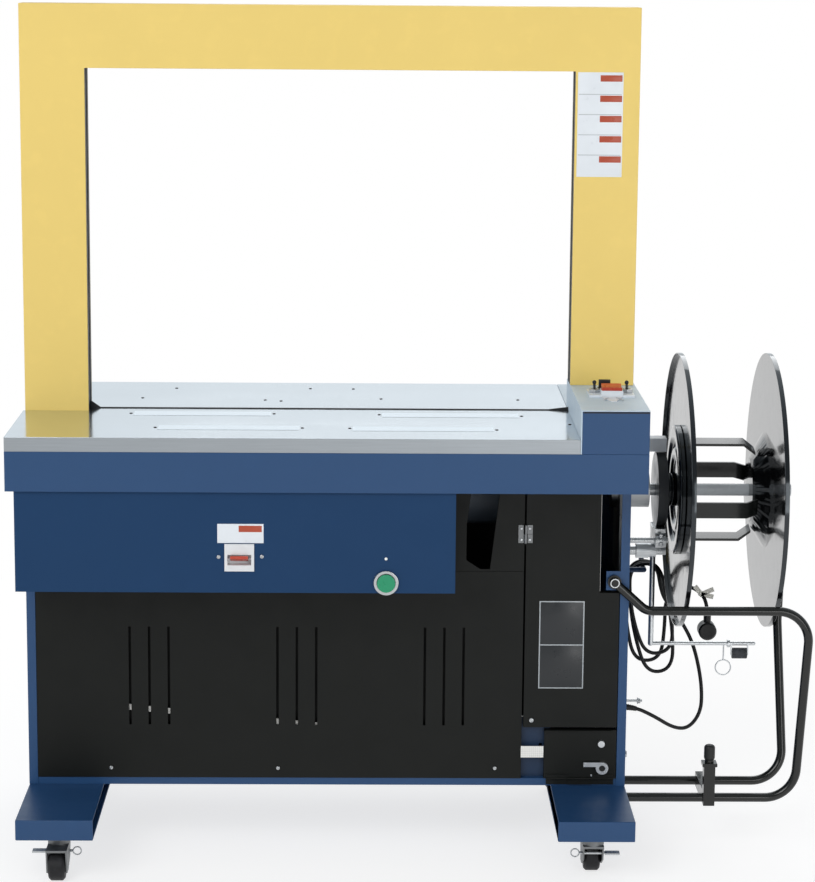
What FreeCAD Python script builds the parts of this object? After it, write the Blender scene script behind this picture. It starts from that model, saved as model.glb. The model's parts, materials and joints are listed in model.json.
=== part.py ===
import FreeCAD, Part
import math
import operator
import os
from types import SimpleNamespace

from FreeCAD import Placement, Rotation, Vector
import Sketcher

# Floor-standing arch strapping machine with a stainless table, a cabinet on castors and a strap reel.
# Machine axes: X to the right as the operator sees it, Y away from the operator, Z up from the floor.
# X is zero in the middle of the arch, and Y is zero a little in front of it.

# Lengths in millimetres

LENGTHS = {
    # Table and its frame
    "table_top": 770,
    "table_margin": 3.5,
    "table_front": 245,
    "table_rear": 340,
    "table_lip": 25,
    "table_sheet": 2,
    "band_high": 68,
    "frame_sheet": 3,
    "frame_flange": 30,
    "rail_wide": 30,
    "cross_high": 40,
    "slot_wide": 4,
    # Arch
    "arch_open_wide": 850,
    "arch_open_high": 600,
    "arch_leg_wide": 112,
    "arch_beam_high": 110,
    "arch_front": 20,
    "arch_deep": 60,
    "arch_sheet": 2,
    # Strap track
    "track_thick": 18,
    "groove_wide": 17,
    "groove_deep": 9,
    "lower_track_wide": 30,
    "lower_track_high": 20,
    "left_guide_long": 18,
    "left_guide_high": 14,
    "right_guide_long": 36,
    "right_guide_high": 6,
    "guide_thin": 3,
    # Corner block beside the table
    "block_high": 50,
    "block_rear": 95,
    "block_sheet": 2,
    "cover_sheet": 2,
    # Cabinet
    "cabinet_inset": 14,
    "cabinet_front": 96,
    "cabinet_rear": 300,
    "cabinet_sheet": 2,
    "post_wide": 15.5,
    "sill_high": 13,
    "pan_sheet": 3,
    "panel_sheet": 1.5,
    "panel_fold": 12,
    "door_bay": 184.5,
    "front_panel_top": 509,
    "slot_high": 177,
    "slot_thin": 4,
    "slot_pitch": 34,
    "slot_group_pitch": 258.5,
    "slot_first": 349,
    "slot_low": 230,
    "rear_slot_first": 300,
    "rear_slot_low": 330,
    "outlet_plate_out": 40,
    "outlet_plate_top": 240,
    "outlet_slot_low": 172,
    "outlet_slot_high": 22,
    "outlet_slot_in": 8,
    "outlet_slot_wide": 5,
    # Hinge panel with its slanted gap
    "gap_top_start": 90,
    "gap_top_end": 41,
    "gap_middle_start": 101,
    "gap_low_start": 77,
    "gap_low_end": 60,
    "gap_upper_bend": 591,
    "gap_lower_bend": 529,
    "gap_low": 513,
    # Doors
    "door_low": 227,
    "door_notch_wide": 34.8,
    "door_notch_low": 471,
    "door_gap": 1.2,
    "pool_door_high": 222,
    "pool_door_lip": 8,
    "hinge_low": 560,
    "hinge_high": 32,
    "hinge_leaf": 11,
    "hinge_radius": 3,
    "hinge_pin_radius": 1.5,
    "hinge_leaf_thick": 1.5,
    "pool_knob_in": 26.8,
    "pool_knob_z": 198,
    "pool_knob_radius": 6,
    "pool_knob_out": 7,
    "latch_in": 24.8,
    "latch_z": 154,
    "latch_ring_radius": 11,
    "latch_hole_radius": 5.5,
    "latch_arm_long": 33,
    "latch_arm_high": 8,
    "latch_thick": 4,
    "latch_stem_radius": 4,
    "latch_stem_long": 20,
    "latch_catch_long": 28,
    "pool_hinge_radius": 2,
    "pool_hinge_pin": 1,
    "pool_hinge_end": 4,
    "pool_knuckle": 38,
    "pool_leaf_thick": 1.5,
    "pool_leaf_drop": 2.4,
    "pool_leaf_high": 8,
    # Feet and castors
    "foot_wide": 131.5,
    "foot_high": 36,
    "foot_front": 299,
    "foot_rear": 329,
    "foot_sheet": 3,
    "castor_high": 84,
    "castor_inset": 73,
    "castor_trail": 30,
    "wheel_radius": 25,
    "wheel_wide": 28,
    "wheel_edge": 4,
    "hub_side_radius": 11,
    "axle_radius": 4,
    "fork_gap": 31,
    "fork_sheet": 2.5,
    "fork_crown": 4,
    "fork_crown_low": 53.5,
    "fork_half_long": 18,
    "fork_boss": 10,
    "swivel_radius": 19,
    "race_radius": 25,
    "race_high": 5,
    "brake_back": 2,
    "brake_high": 41,
    "brake_pin_radius": 2.5,
    "brake_arm_out": 6,
    "brake_lug_long": 10.3,
    "brake_lug_wide": 18,
    "brake_tab_long": 22,
    "brake_tab_wide": 16,
    "brake_tab_thick": 3,
    "brake_ring_radius": 7,
    "brake_wire": 1.2,
    # Electrical box
    "box_gap": 125,
    "box_out": 142,
    "box_low": 503,
    "box_sheet": 1.5,
    "breaker_x": 148,
    "breaker_z": 564,
    "breaker_wide": 50,
    "breaker_high": 47,
    "breaker_plate": 3,
    "breaker_deep": 55,
    "breaker_rim": 3,
    "breaker_window_wide": 40,
    "breaker_window_high": 18,
    "breaker_window_deep": 12,
    "breaker_window_drop": 8,
    "toggle_pole_wide": 9,
    "toggle_bar_high": 5,
    "toggle_reach": 9,
    "toggle_axle_radius": 3,
    "start_x": 100,
    "start_z": 521.7,
    "start_bezel_radius": 21,
    "start_bezel_out": 6,
    "start_bezel_deep": 25,
    "start_thread_radius": 16.5,
    "start_cap_radius": 15.5,
    "start_cap_thick": 4,
    "start_stem_radius": 7,
    "start_stem_long": 30,
    "start_travel": 4,
    # Switches on the corner block
    "console_in": 52.5,
    "console_y": 78,
    "console_wide": 78,
    "console_deep": 66,
    "console_high": 4,
    "rocker_wide": 34,
    "rocker_deep": 26,
    "rocker_high": 15,
    "rocker_wall": 2,
    "rocker_axle_radius": 2,
    "knob_wide": 24,
    "knob_deep": 16,
    "knob_high": 20,
    "knob_back": 28,
    "knob_left": 10,
    "knob_stem_radius": 3,
    "toggle_out": 28,
    "toggle_nut_radius": 6.5,
    "toggle_nut_high": 5,
    "toggle_lever_radius": 2.2,
    "toggle_lever_high": 17,
    "toggle_tip_radius": 3.6,
    # Reel
    "reel_y": 95,
    "reel_drop": 152,
    "reel_radius": 247.5,
    "reel_sheet": 2,
    "reel_lip": 6.5,
    "inner_disc_out": 105.5,
    "outer_disc_out": 259.5,
    "shaft_radius": 11,
    "shaft_end_out": 307.5,
    "shaft_start_in": 14.5,
    "ring_radius": 116.5,
    "ring_inner": 96,
    "ring_out": 12,
    "plate_radius": 105,
    "plate_out": 18,
    "hub_collar_radius": 30,
    "cone_tip_radius": 58,
    "cone_base_radius": 106.5,
    "cone_long": 29,
    "core_radius": 93,
    "bar_wide": 30,
    "bar_thick": 5,
    "bar_bend_out": 215.5,
    "bar_end_out": 237.5,
    "bar_end_radius": 76,
    "drum_out": 61.5,
    "drum_wide": 18,
    "drum_radius": 68,
    "drum_wall": 5,
    "drum_web": 5,
    "nut_radius": 17,
    "nut_long": 12,
    # Reel bracket
    "bracket_tube_radius": 32,
    "bracket_tube_start_in": 19.5,
    "bracket_tube_end_out": 49.5,
    "bracket_disc_radius": 58,
    "bracket_disc": 5,
    "mount_plate": 5,
    "mount_plate_half": 62,
    "mount_plate_drop": 150,
    "mount_plate_up": 55,
    "shaft_gap": 0.05,
    "upper_arm_wide": 30,
    "upper_arm_drop": 55,
    "upper_arm_high": 24,
    "upper_arm_long": 65.5,
    # Brake shoe and dancer arm
    "brake_y": 42,
    "brake_drop": 83,
    "brake_stud_radius": 5,
    "brake_stud_end_out": 80.5,
    "shoe_out": 57.5,
    "shoe_wide": 20,
    "shoe_rear": 118,
    "shoe_drop": 94,
    "shoe_high": 32,
    "shoe_gap": 0.6,
    "shoe_boss_radius": 13,
    "dancer_drop": 113,
    "dancer_stud_radius": 8.5,
    "dancer_stud_end_out": 83.5,
    "dancer_hub_out": 29.5,
    "dancer_hub_wide": 22,
    "dancer_hub_radius": 14,
    "dancer_arm_radius": 5,
    "dancer_arm_out": 60.5,
    "dancer_arm_long": 174,
    "dancer_rod_radius": 3.5,
    "dancer_rod_end_out": 249.5,
    "dancer_collar_out": 200.5,
    "dancer_collar_radius": 7,
    "dancer_collar_wide": 5,
    "roller_out": 209.5,
    "roller_long": 28,
    "roller_radius": 10,
    "roller_drop": 18,
    "roller_pin_radius": 3,
    "roller_ear": 2,
    "eye_out": 194.5,
    "eye_drop": 45,
    "eye_radius": 14,
    "eye_wire": 1.2,
    # Guard tubes
    "guard_radius": 8,
    "guard_wall": 1.5,
    "guard_front_gap": 0.3,
    "guard_end_in": 26.5,
    "guard_end_z": 492,
    "guard_eye_radius": 12,
    "guard_eye_hole": 4,
    "guard_tab_in": 40.5,
    "guard_tab_low": 476,
    "guard_tab_high": 34,
    "guard_top_z": 441,
    "guard_dip_out": 29.5,
    "guard_top_out": 319.5,
    "guard_foot_out": 299.5,
    "guard_low_z": 102,
    "guard_bend": 55,
    "guard_small_bend": 30,
    "rear_guard_y": 5,
    "rear_guard_out": 294.5,
    "rear_guard_waist_out": 284.5,
    "rear_guard_waist_y": 52,
    "rear_guard_waist_z": 386,
    "rear_eye_radius": 18,
    "rear_eye_long": 16,
    "rear_eye_out": 288.5,
    "clamp_out": 137.5,
    "clamp_wide": 20,
    "clamp_low": 90,
    "clamp_high": 168,
    "clamp_over": 5,
    "clamp_collar": 6,
    "clamp_collar_out": 3,
    "clamp_cap_radius": 8,
    "clamp_cap_high": 20,
    "clamp_fit": 0.3,
    # Strap pool, strapping head and feed
    "pool_side_gap": 46.5,
    "pool_panel_gap": 12,
    "pool_front": 80,
    "pool_deep": 120,
    "pool_high": 330,
    "pool_sheet": 2,
    "bed_left": 320,
    "bed_right": 160,
    "bed_front": 40,
    "bed_rear": 150,
    "bed_thick": 12,
    "bar_high": 25,
    "bar_across": 20,
    "bearing_half": 105,
    "bearing_plate": 10,
    "bearing_low": 560,
    "bearing_front": 30,
    "bearing_rear": 130,
    "cam_z": 620,
    "cam_shaft_radius": 12,
    "cam_shaft_out": 30,
    "cam_radius": 30,
    "cam_offset": 8,
    "cam_thick": 14,
    "cam_pitch": 36,
    "gearbox_long": 45,
    "gearbox_half": 48,
    "motor_radius": 55,
    "motor_long": 170,
    "feed_plate_right": 118,
    "feed_plate_low": 600,
    "feed_plate_gap": 22,
    "feed_plate_thick": 8,
    "feed_x": 240,
    "feed_z": 650,
    "feed_radius": 35,
    "pinch_radius": 20,
    "feed_wide": 24,
    "feed_pin_radius": 6,
    "feed_pin_long": 32,
    "feed_gap": 0.4,
    # Power cord
    "cord_radius": 3.5,
    "cord_inside": 10.5,
    "gland_y": 150,
    "gland_z": 196,
    "gland_radius": 9,
    "gland_nut_radius": 12,
    "gland_nut": 6,
    "gland_long": 14,
    "gland_hole": 8,
    "gland_bore": 3.8,
    "lead_wide": 185,
    "lead_deep": 90,
    "lead_high": 202,
    "hook_out": 60,
    "hook_y": 236,
    "hook_z": 436,
    "hook_radius": 5,
    "hook_long": 52,
    "hook_tip": 22,
    "hank_top_half": 25,
    "hank_side_half": 36,
    "hank_long": 215,
    "hank_step": 10,
    "hank_rest_gap": 0.5,
    "tail_wide": 76,
    "tail_deep": 36,
    "tail_high": 78,
    "plug_out": 181.5,
    "plug_y": 236,
    "plug_z": 320,
    "plug_radius": 17,
    "plug_deep": 28,
    "plug_edge": 3,
    "plug_neck_radius": 7,
    "plug_neck_high": 34,
    "plug_neck_bore": 12,
    "plug_pin_radius": 2.4,
    "plug_pin_long": 19,
    "plug_pin_circle": 9.5,
    # Shared clearances
    "seat_gap": 0.3,
    "pin_gap": 0.05,
    "overrun": 10,
}

# Angles in degrees

ANGLES = {
    "full_turn": 360,
    "quarter_turn": 90,
    "bar_turn": 12,
    "toggle_lean": 14,
    "breaker_lean": 20,
    "rocker_lean": 7,
    "front_left_heading": 180,
    "front_right_heading": 0,
    "rear_left_heading": 0,
    "rear_right_heading": 90,
    "hank_fan": 11,
}

# Counts

COUNTS = {
    "slots_in_group": 3,
    "slot_groups": 3,
    "rear_slot_groups": 2,
    "core_bars": 4,
    "cams": 5,
}

# Shares of the cord's own lengths: how far each bend lies along the route, and each loop's drop and lean

BEND_SHARE = 0.45
LEAD_SHARES = [
    (0.192, 0, 0),
    (0.408, 0.078, -0.099),
    (0.624, 0.233, -0.238),
    (0.792, 0.411, -0.262),
    (0.922, 0.6, -0.129),
    (0.932, 0.733, 0.079),
    (0.895, 0.844, 0.307),
    (0.83, 0.933, 0.515),
    (0.722, 0.978, 0.693),
    (0.51, 1, 0.95),
]
TAIL_SHARES = [
    (-1, 1, 0.667),
    (-0.658, 0.97, 0.974),
    (-0.316, 0.62, 1),
    (0, 0, 0.744),
    (0, 0, 0.308),
]
HANK_DROP_SHARES = [0.82, 1, 0.9]
HANK_LEAN_SHARES = [1, 0.9, 0.4]

document = FreeCAD.newDocument("arch_strapping_machine")
sheet = document.addObject("Spreadsheet::Sheet", "Sizes")


class Size:
    """A number with the expression that ties it to the sheet."""

    def __init__(self, value, text):
        self.value = value
        self.text = text

    def __float__(self):
        return float(self.value)

    def __add__(self, other):
        return combine(self, "+", other)

    def __radd__(self, other):
        return combine(other, "+", self)

    def __sub__(self, other):
        return combine(self, "-", other)

    def __rsub__(self, other):
        return combine(other, "-", self)

    def __mul__(self, other):
        return combine(self, "*", other)

    def __rmul__(self, other):
        return combine(other, "*", self)

    def __truediv__(self, other):
        return combine(self, "/", other)

    def __neg__(self):
        return combine(0, "-", self)


ACTIONS = {"+": operator.add, "-": operator.sub, "*": operator.mul, "/": operator.truediv}


def as_size(number):
    if isinstance(number, Size):
        return number
    return Size(number, repr(number))


def combine(first, sign, second):
    first = as_size(first)
    second = as_size(second)
    value = ACTIONS[sign](first.value, second.value)
    return Size(value, f"({first.text} {sign} {second.text})")


def sine(angle):
    return Size(math.sin(math.radians(angle.value)), f"sin({angle.text})")


def cosine(angle):
    return Size(math.cos(math.radians(angle.value)), f"cos({angle.text})")


def root(number):
    return Size(math.sqrt(number.value), f"sqrt({number.text})")


def fill_sheet():
    """Put each named number in a cell of its own and return them all by name."""
    named = {**LENGTHS, **ANGLES, **COUNTS}
    for row, (name, number) in enumerate(named.items(), start=1):
        sheet.set(f"A{row}", name)
        sheet.set(f"B{row}", str(number))
        sheet.setAlias(f"B{row}", name)
    document.recompute()
    return SimpleNamespace(**{name: Size(float(sheet.get(name)), f"Sizes.{name}") for name in named})


size = fill_sheet()

# Places that several pieces share, worked out from the named lengths

band_top = size.table_top - size.table_lip
band_low = band_top - size.band_high
arch_inner = size.arch_open_wide / 2
arch_outer = arch_inner + size.arch_leg_wide
table_half = arch_outer + size.table_margin
arch_back = size.arch_front + size.arch_deep
arch_middle = size.arch_front + size.arch_deep / 2
arch_beam_low = size.table_top + size.arch_open_high
arch_top = arch_beam_low + size.arch_beam_high
block_top = size.table_top + size.block_high
slot_half = size.slot_wide / 2
cabinet_half = table_half - size.cabinet_inset
cabinet_low = size.castor_high + size.foot_high
sill_top = cabinet_low + size.sill_high
post_inner = cabinet_half - size.post_wide
door_right = post_inner - size.door_gap
front_panel_right = cabinet_half - size.door_bay
outlet_plate_right = front_panel_right + size.outlet_plate_out
outlet_slot_left = outlet_plate_right - size.outlet_slot_in
gap_top_left = front_panel_right - size.gap_top_start
gap_top_right = front_panel_right - size.gap_top_end
gap_middle_left = front_panel_right - size.gap_middle_start
gap_low_left = front_panel_right - size.gap_low_start
gap_low_right = front_panel_right - size.gap_low_end
box_right = front_panel_right - size.box_gap
door_notch_left = door_right - size.door_notch_wide
pool_knob_x = door_right - size.pool_knob_in
latch_x = door_right - size.latch_in
guard_tab_left = cabinet_half - size.guard_tab_in
console_x = table_half - size.console_in
upper_arm_end_x = table_half + size.upper_arm_long
upper_arm_low = band_top - size.upper_arm_drop
inner_disc_x = cabinet_half + size.inner_disc_out
outer_disc_x = cabinet_half + size.outer_disc_out
shaft_end_x = cabinet_half + size.shaft_end_out
bar_bend_x = cabinet_half + size.bar_bend_out
bar_end_x = cabinet_half + size.bar_end_out
drum_x = cabinet_half + size.drum_out
shoe_x = cabinet_half + size.shoe_out
dancer_hub_x = cabinet_half + size.dancer_hub_out
dancer_arm_x = cabinet_half + size.dancer_arm_out
dancer_rod_end_x = cabinet_half + size.dancer_rod_end_out
dancer_collar_x = cabinet_half + size.dancer_collar_out
roller_x = cabinet_half + size.roller_out
eye_x = cabinet_half + size.eye_out
guard_dip_x = cabinet_half + size.guard_dip_out
guard_top_x = cabinet_half + size.guard_top_out
guard_foot_x = cabinet_half + size.guard_foot_out
rear_guard_x = cabinet_half + size.rear_guard_out
rear_guard_waist_x = cabinet_half + size.rear_guard_waist_out
rear_eye_x = cabinet_half + size.rear_eye_out
clamp_x = cabinet_half + size.clamp_out
hook_x = cabinet_half + size.hook_out
plug_x = cabinet_half + size.plug_out
brake_stud_end_x = cabinet_half + size.brake_stud_end_out
dancer_stud_end_x = cabinet_half + size.dancer_stud_end_out
bracket_tube_end_x = cabinet_half + size.bracket_tube_end_out
shaft_start_x = cabinet_half - size.shaft_start_in
bracket_tube_start_x = cabinet_half - size.bracket_tube_start_in
guard_end_x = cabinet_half - size.guard_end_in
reel_z = size.table_top - size.reel_drop
brake_z = reel_z - size.brake_drop
dancer_z = reel_z - size.dancer_drop
shoe_low = reel_z - size.shoe_drop
dancer_rod_z = dancer_z - size.dancer_arm_long
pool_left_x = outlet_plate_right + size.seat_gap
pool_hinge_y = -size.cabinet_front - size.pool_hinge_radius - size.seat_gap
pool_hinge_z = sill_top + size.seat_gap
panel_back = -size.cabinet_front + size.panel_sheet
guard_front_y = -size.cabinet_front - size.guard_radius - size.guard_front_gap
guard_lean = guard_top_x - guard_foot_x
guard_drop = size.guard_top_z - size.guard_low_z
guard_side = root(guard_lean * guard_lean + guard_drop * guard_drop)
guard_set_in = size.guard_bend * (guard_side + guard_lean) / guard_drop
guard_right = guard_top_x - guard_set_in + size.guard_bend + size.guard_radius
middle_x = (guard_right - table_half) / 2
middle_y = (size.reel_y + size.reel_radius - size.foot_front) / 2

# Document helpers

UP = Vector(0, 0, 1)
ALONG = Vector(1, 0, 0)

made = []
spots = {}


def bind(item, name, number):
    item.setExpression(name, as_size(number).text)


def lean(item, axis, angle):
    """Turn an object about an axis through its own origin by a bound angle."""
    item.Placement.Rotation = Rotation(axis, float(angle))
    bind(item, "Placement.Rotation.Angle", angle)


def put(item, spot):
    """Bind an object's place, and keep it for the shift to the part's own origin."""
    spots[item.Name] = spot
    for axis, number in zip("xyz", spot):
        bind(item, f"Placement.Base.{axis}", number)


TURNS = {
    "Z": Rotation(),
    "X": Rotation(Vector(0, 1, 0), 90),
    "Y": Rotation(Vector(1, 0, 0), -90),
}


def block(name, low, high):
    """A box from its lowest to its highest corner."""
    item = document.addObject("Part::Box", name)
    for prop, start, end in zip(("Length", "Width", "Height"), low, high):
        bind(item, prop, end - start)
    put(item, low)
    return item


def rod(name, start, radius, length, axis="Z"):
    """A cylinder from the middle of its first face along a machine axis."""
    item = document.addObject("Part::Cylinder", name)
    item.Placement.Rotation = TURNS[axis]
    bind(item, "Radius", radius)
    bind(item, "Height", length)
    put(item, start)
    return item


def taper(name, start, first_radius, second_radius, length, axis="Z"):
    """A cone from the middle of its first face along a machine axis."""
    item = document.addObject("Part::Cone", name)
    item.Placement.Rotation = TURNS[axis]
    bind(item, "Radius1", first_radius)
    bind(item, "Radius2", second_radius)
    bind(item, "Height", length)
    put(item, start)
    return item


def hexagon(name, start, radius, length, axis="Z"):
    """A six-sided nut from the middle of its first face along a machine axis."""
    item = document.addObject("Part::Prism", name)
    item.Polygon = 6
    item.Placement.Rotation = TURNS[axis]
    bind(item, "Circumradius", radius)
    bind(item, "Height", length)
    put(item, start)
    return item


def ball(name, centre, radius):
    item = document.addObject("Part::Sphere", name)
    bind(item, "Radius", radius)
    put(item, centre)
    return item


def swung(name, item, spot, axis, angle):
    """Turn a piece that is drawn about its own axis, and set it in its place."""
    lean(item, axis, angle)
    spots[item.Name] = spot
    node(name, item)


def wire_ring(name, centre, radius, wire, axis="Y"):
    """A ring of round wire about a machine axis."""
    item = document.addObject("Part::Torus", name)
    item.Placement.Rotation = TURNS[axis]
    bind(item, "Radius1", radius)
    bind(item, "Radius2", wire)
    put(item, centre)
    return item


def fuse(name, *items):
    item = document.addObject("Part::MultiFuse", name)
    item.Shapes = list(items)
    spots[item.Name] = (as_size(0), as_size(0), as_size(0))
    return item


def cut(name, base, *tools):
    item = document.addObject("Part::Cut", name)
    item.Base = base
    item.Tool = tools[0] if len(tools) == 1 else fuse(f"{name}_tools", *tools)
    spots[item.Name] = (as_size(0), as_size(0), as_size(0))
    return item


def body(name, spot=(0, 0, 0), turn=None):
    item = document.addObject("PartDesign::Body", name)
    if turn is not None:
        item.Placement.Rotation = turn
    put(item, spot)
    return item


def sketch(owner, plane, points, offset=0):
    """A closed outline of straight lines whose corners are bound to the sheet."""
    item = owner.newObject("Sketcher::SketchObject", f"{owner.Name}_sketch")
    planes = {feature.Role: feature for feature in owner.Origin.OriginFeatures}
    item.AttachmentSupport = [(planes[f"{plane}_Plane"], "")]
    item.MapMode = "FlatFace"
    bind(item, "AttachmentOffset.Base.z", offset)
    corners = [Vector(float(first), float(second), 0) for first, second in points]
    for index, corner in enumerate(corners):
        following = corners[(index + 1) % len(corners)]
        item.addGeometry(Part.LineSegment(corner, following))
    for index, (first, second) in enumerate(points):
        before = (index - 1) % len(points)
        item.addConstraint(Sketcher.Constraint("Coincident", before, 2, index, 1))
        for kind, number in (("DistanceX", first), ("DistanceY", second)):
            added = item.addConstraint(Sketcher.Constraint(kind, index, 1, float(number)))
            item.renameConstraint(added, f"{kind}{index}")
            if isinstance(number, Size):
                bind(item, f"Constraints.{kind}{index}", number)
    return item


def feature(owner, kind, profile, length, away=False):
    """A pad or a pocket of a sketch, to a bound length."""
    item = owner.newObject(f"PartDesign::{kind}", f"{owner.Name}_{kind.lower()}")
    item.Profile = profile
    item.Type = "Length"
    item.Reversed = away
    bind(item, "Length", length)
    owner.Tip = item
    return item


def rounded(owner, radius, wanted):
    """A fillet on each edge that the test picks."""
    document.recompute()
    base = owner.Tip
    names = [f"Edge{number}" for number, edge in enumerate(base.Shape.Edges, start=1) if wanted(edge)]
    item = owner.newObject("PartDesign::Fillet", f"{owner.Name}_rounding")
    item.Base = (base, names)
    bind(item, "Radius", radius)
    owner.Tip = item
    return item


def node(name, item):
    """Name a sub-part and shift it from the machine's axes to the part's own origin."""
    item.Label = name
    spot = spots[item.Name]
    put(item, (spot[0] - middle_x, spot[1] - middle_y, spot[2]))
    made.append(item)
    return item


def shaped(name, shape):
    """A sub-part whose shape is worked out here, moved to the part's own origin."""
    item = document.addObject("Part::Feature", name)
    item.Shape = shape
    spots[item.Name] = (as_size(0), as_size(0), as_size(0))
    return node(name, item)


def shell(name, low, high, inner_low, inner_high):
    """A box with a smaller box taken out of it."""
    return cut(name, block(f"{name}_outer", low, high), block(f"{name}_inner", inner_low, inner_high))


# Feet and base


def make_feet():
    """Two box channels, open towards the middle of the machine, with the castors under their ends."""
    halves = []
    for side, name in ((-1, "left"), (1, "right")):
        outer = side * cabinet_half
        inner = side * (cabinet_half - size.foot_wide)
        low_x, high_x = (outer, inner) if side < 0 else (inner, outer)
        wall = size.foot_sheet
        cavity_low = low_x + wall if side < 0 else low_x - size.overrun
        cavity_high = high_x + size.overrun if side < 0 else high_x - wall
        halves.append(shell(
            f"{name}_foot",
            (low_x, -size.foot_front, size.castor_high),
            (high_x, size.foot_rear, cabinet_low),
            (cavity_low, -size.foot_front + wall, size.castor_high + wall),
            (cavity_high, size.foot_rear - wall, cabinet_low - wall),
        ))
    node("feet", fuse("feet", *halves))


def make_base_pan():
    """The cabinet floor with its sill, and the blue plate that the strap crosses."""
    inner = cabinet_half - size.cabinet_sheet
    front = panel_back
    rear = size.cabinet_rear - size.cabinet_sheet
    tray = shell(
        "tray",
        (-inner, front, cabinet_low),
        (inner, rear, sill_top),
        (-inner + size.cabinet_sheet, front + size.cabinet_sheet, cabinet_low + size.pan_sheet),
        (inner - size.cabinet_sheet, rear - size.cabinet_sheet, sill_top + size.overrun),
    )
    plate = block(
        "outlet_plate",
        (front_panel_right - size.panel_fold, front + size.panel_fold, cabinet_low),
        (outlet_plate_right + size.panel_fold, front + size.panel_fold + size.cabinet_sheet,
         size.outlet_plate_top),
    )
    foot = block(
        "outlet_plate_foot",
        (front_panel_right, front, sill_top - size.cabinet_sheet),
        (outlet_plate_right, front + size.panel_fold + size.cabinet_sheet, sill_top),
    )
    slot = block(
        "outlet_slot",
        (outlet_slot_left, front, size.outlet_slot_low),
        (outlet_slot_left + size.outlet_slot_wide, front + size.panel_fold + size.overrun,
         size.outlet_slot_low + size.outlet_slot_high),
    )
    left, right = pool_left_x + size.pool_hinge_end, door_right - size.pool_hinge_end
    leaf = block("pool_leaf", (left, -size.cabinet_front - size.pool_leaf_thick / 2, cabinet_low + size.pool_leaf_drop),
                 (right, front, pool_hinge_z - size.pool_leaf_drop))
    inner_left, inner_right = left + size.pool_knuckle + size.seat_gap, right - size.pool_knuckle - size.seat_gap
    knuckle = rod("pool_knuckle", (inner_left, pool_hinge_y, pool_hinge_z), size.pool_hinge_radius,
                  inner_right - inner_left, "X")
    upstand = block(
        "pool_upstand",
        (inner_left, pool_hinge_y, cabinet_low + size.pool_leaf_drop),
        (inner_right, pool_hinge_y + size.pool_leaf_thick, pool_hinge_z),
    )
    pin = rod("pool_pin", (left, pool_hinge_y, pool_hinge_z), size.pool_hinge_pin, right - left, "X")
    node("base_pan", fuse("base_pan", cut("outlet", fuse("floor", tray, plate, foot), slot), leaf, knuckle, upstand,
                          pin))


def make_side_panel(side, name):
    """A folded side with a front post and a rear post. The right one has the holes of the reel bracket."""
    skin = size.cabinet_sheet
    outer = side * cabinet_half
    inner = side * (cabinet_half - skin)
    post = side * post_inner
    low_x, high_x = (outer, inner) if side < 0 else (inner, outer)
    post_low, post_high = (outer, post) if side < 0 else (post, outer)
    parts = [
        block(f"{name}_skin", (low_x, -size.cabinet_front, cabinet_low), (high_x, size.cabinet_rear, band_low)),
        block(f"{name}_front_post", (post_low, -size.cabinet_front, cabinet_low),
              (post_high, -size.cabinet_front + size.panel_sheet, band_low)),
        block(f"{name}_rear_post", (post_low, size.cabinet_rear - size.panel_sheet, cabinet_low),
              (post_high, size.cabinet_rear, band_low)),
    ]
    if side < 0:
        node(name, fuse(name, *parts))
        return
    parts.append(block(
        f"{name}_tab",
        (guard_tab_left, -size.cabinet_front, size.guard_tab_low),
        (post, -size.cabinet_front + size.panel_sheet, size.guard_tab_low + size.guard_tab_high),
    ))
    start = inner - size.overrun
    through = skin + size.overrun * 2
    holes = [
        rod("tube_hole", (start, size.reel_y, reel_z), size.bracket_tube_radius + size.seat_gap, through, "X"),
        rod("brake_hole", (start, size.brake_y, brake_z), size.brake_stud_radius + size.seat_gap, through, "X"),
        rod("dancer_hole", (start, size.reel_y, dancer_z), size.dancer_stud_radius + size.seat_gap,
            through, "X"),
        rod("gland_hole", (start, size.gland_y, size.gland_z), size.gland_hole + size.seat_gap, through, "X"),
    ]
    spot = (hook_x, size.hook_y, size.hook_z)
    end = (hook_x, size.hook_y + size.hook_long, size.hook_z)
    parts += [
        rod("hook_stem", (outer, size.hook_y, size.hook_z), size.hook_radius, hook_x - outer, "X"),
        ball("hook_elbow", spot, size.hook_radius),
        rod("hook_bar", spot, size.hook_radius, size.hook_long, "Y"),
        ball("hook_bend", end, size.hook_radius),
        rod("hook_tip", end, size.hook_radius, size.hook_tip),
    ]
    node(name, cut(name, fuse(f"{name}_folds", *parts), *holes))


def slot_cuts(name, first_x, low_z, front_y, groups):
    """Upright vent slots in groups, as cutting boxes through a panel's face."""
    cuts = []
    for group in range(groups):
        for place in range(int(size.slots_in_group.value)):
            left = first_x + size.slot_group_pitch * group + size.slot_pitch * place
            cuts.append(block(
                f"{name}_slot",
                (left, front_y - size.overrun, low_z),
                (left + size.slot_thin, front_y + size.overrun, low_z + size.slot_high),
            ))
    return cuts


def make_front_panel():
    """The vented front cover, a pan folded from one sheet."""
    left = -post_inner + size.seat_gap
    right = front_panel_right
    front = -size.cabinet_front
    skin = size.panel_sheet
    pan = shell(
        "front_pan",
        (left, front, sill_top),
        (right, front + size.panel_fold, size.front_panel_top),
        (left + skin, front + skin, sill_top + skin),
        (right - skin, front + size.panel_fold + size.overrun, size.front_panel_top - skin),
    )
    cuts = slot_cuts("front", -size.slot_first, size.slot_low, front, int(size.slot_groups.value))
    node("front_panel", cut("front_panel", pan, *cuts))


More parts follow.
